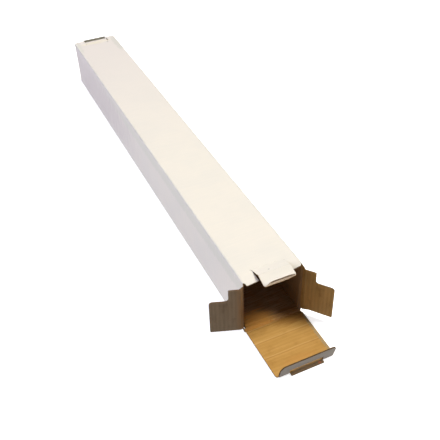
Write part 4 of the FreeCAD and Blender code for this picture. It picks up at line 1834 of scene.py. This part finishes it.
def main() -> None:
    """Build the carton and its studio, in the row's frame."""
    logging.basicConfig(level=logging.INFO, format="%(name)s: %(message)s")
    blank = Blank.from_frame()
    pitch = blank.stock.pitch
    width = 2 * blank.half_width
    tube_turns = (blank.height, blank.height + width, 2 * blank.height + width)
    top = blank.height + blank.half_width
    fold = blank.flap_fold
    mouth = blank.end_mouth
    base = sum(2 * side for side in (blank.height, blank.half_width)) + blank.half_width
    white = WhiteLiner(
        "white_liner", folds=tube_turns,
        patches=(
            Patch(top - 4.0, -483.0, 1.8, 1.8, (0.42, 0.40, 0.35), 0.6),
            Patch(top - 28.5, -467.0, 1.6, 1.6, (0.42, 0.40, 0.35), 0.5),
            # painted shade: dark corner at the foot of the left wall beside the end flap's hinge
            Patch(1.0, mouth + 3.5, 3.6, 5.5, (0.20, 0.12, 0.055), 0.95),
            # painted shade: darker olive band down the upper part of the left wall, a gradient across the
            # face
            Patch(90.0, -250.0, 14.0, 640.0, (0.70, 0.70, 0.58), 0.45),
            # painted shade: the left wall darkens towards the far end, a light fall-off
            Patch(50.0, 420.0, 62.0, 420.0, (0.68, 0.61, 0.57), 0.6),
            # painted light: lighter cream band across the top where the pressed far tongue tilts
            Patch(top, 466.0, 44.0, 12.0, (0.86, 0.78, 0.60), 0.6),
            Patch(top + 46.0, 440.0, 9.0, 60.0, (0.62, 0.61, 0.54), 0.55),
            Patch(top - 48.0, 455.0, 8.0, 40.0, (0.66, 0.66, 0.58), 0.5),
            Patch(top + 31.5, 470.0, 2.6, 4.5, (0.30, 0.27, 0.20), 0.75),
            Patch(top + 27.0, 456.0, 2.6, 4.0, (0.40, 0.37, 0.30), 0.6),
        ),
    ).build(pitch)
    # painted shade: the lip's white liner in a darker, greyer colour, for its front face that is turned from
    # the light
    lip_white_painted_shade = WhiteLiner("lip_liner", colour=(0.54, 0.45, 0.365), shade=(0.46, 0.385, 0.31)).build(pitch)
    # painted shade: the tube's kraft is darker than the end flap's, though both are the same board, to darken
    # the interior
    kraft = KraftLiner(
        "kraft_liner", colour=(0.40, 0.215, 0.070), pale=(0.48, 0.27, 0.095), dark=(0.28, 0.145, 0.045),
        ridges=tuple(mouth + at for at in Tube.ridges), ridge_wear=0.6, slant=Tube.slant, slant_from=base,
        patches=(
            # painted light: a paler, greyer colour deep inside the tube stands in for the interior's dim
            # light
            Patch(base, mouth + 330.0, 400.0, 380.0, (0.58, 0.43, 0.31), 0.95),
            # painted shade: darker inner face of the right wall near the mouth
            Patch(base - 110.0, mouth + 30.0, 60.0, 90.0, (0.27, 0.16, 0.075), 0.85),
            # painted light: orange glow on the base inside the mouth, left of the middle
            Patch(base + 26.0, mouth + 10.0, 40.0, 34.0, (0.66, 0.29, 0.045), 0.85),
            # painted shadow: darker base inside the mouth, right of the middle
            Patch(base - 30.0, mouth + 6.0, 30.0, 14.0, (0.36, 0.15, 0.022), 0.6),
        ),
    ).build(pitch)
    flap_kraft = KraftLiner(
        "end_flap_liner", ridges=(1.5, 30.0, 62.0), contrast=1.35,
        patches=(
            # painted shadow: the right dust flap's shadow on the end flap near the hinge
            Patch(30.0, 7.0, 40.0, 14.0, (0.30, 0.125, 0.018), 0.55),
            Patch(0.0, 86.0, 34.0, 12.0, (0.52, 0.24, 0.055), 0.35),
            # painted shade: grey-olive band along the end flap's crushed right edge, which slopes away from
            # the light
            Patch(52.0, 60.0, 6.0, 70.0, (0.34, 0.27, 0.15), 0.7),
            # painted shadow: the lip's shadow over the tab and the flap beside the fold
            Patch(0.0, fold + 4.6, 60.0, 7.5, (0.24, 0.165, 0.095), 0.9),
            Patch(23.0, fold + 3.5, 3.0, 2.5, (0.50, 0.16, 0.07), 0.8),
        ),
    ).build(pitch)
    left_kraft = KraftLiner(
        "left_flap_liner", colour=(0.33, 0.225, 0.128), pale=(0.40, 0.28, 0.165), dark=(0.22, 0.14, 0.073),
        hinge_tint=(0.42, 0.20, 0.055), contrast=1.9,
        patches=(
            Patch(4.5, 30.0, 1.6, 60.0, (0.10, 0.065, 0.04), 0.8),
            Patch(40.0, 54.4, 60.0, 1.3, (0.10, 0.065, 0.04), 0.7),
        ),
    ).build(pitch)
    right_kraft = KraftLiner(
        "right_flap_liner", colour=(0.40, 0.222, 0.055), pale=(0.50, 0.285, 0.082), dark=(0.27, 0.135, 0.028),
        # painted highlight: light line between the right flap's two creases
        contrast=2.0, patches=(Patch(52.0, 6.2, 70.0, 0.9, (0.60, 0.38, 0.15), 0.5),),
    ).build(pitch)
    cut = CutPaper("cut_paper").build(pitch)
    # painted shade: the lip's cut edges in dark brown, for the shade along its free edge
    lip_cut = CutPaper("lip_cut_paper", colour=(0.20, 0.125, 0.06), dark=(0.10, 0.06, 0.03)).build(pitch)
    # painted light: pale paper inside the tongue tip's split and on its medium, made bright so that the
    # shaded gap looks lit
    split_cut = CutPaper("split_paper", colour=(0.88, 0.73, 0.57), dark=(0.68, 0.53, 0.39)).build(pitch)
    # dark cut edges of the tongue: partly the open flutes' own darkness, partly painted shade of the slits
    slit_cut = CutPaper("slit_paper", colour=(0.16, 0.10, 0.055), dark=(0.08, 0.05, 0.025)).build(pitch)
    body = Papers(white, kraft, cut)
    Tube(blank, body).build()
    left = blank.wall(-1.0, blank.left_mouth, -Y)
    right = blank.wall(1.0, blank.right_mouth, -Y)
    DustFlap(
        "left_dust_flap", "left_dust_flap", blank, Papers(white, left_kraft, cut), left, blank.left_bend,
        *blank.left_flap(),
    ).build()
    DustFlap(
        "right_dust_flap", "right_dust_flap", blank, Papers(white, right_kraft, cut), right, blank.right_bend,
        *blank.right_flap(), foot_drop=Tube.right_drop, double_crease=True,
    ).build()
    EndFlap(blank, Papers(white, flap_kraft, cut), Papers(lip_white_painted_shade, flap_kraft, lip_cut)).build()
    LockTongue(blank, Papers(white, kraft, slit_cut), Papers(white, kraft, split_cut)).build()
    # painted shade: the closed end's kraft and cut edges are grey-olive rather than brown, the look of shaded
    # white liner in the far slot
    closed = KraftLiner(
        "far_liner", colour=(0.50, 0.48, 0.39), pale=(0.56, 0.54, 0.44), dark=(0.40, 0.385, 0.31)
    ).build(pitch)
    far_cut = CutPaper("far_cut_paper", colour=(0.40, 0.36, 0.28), dark=(0.27, 0.24, 0.18)).build(pitch)
    ClosedEnd(blank, Papers(white, closed, far_cut), body).build()
    Studio().build()


if __name__ == "__main__":
    main()
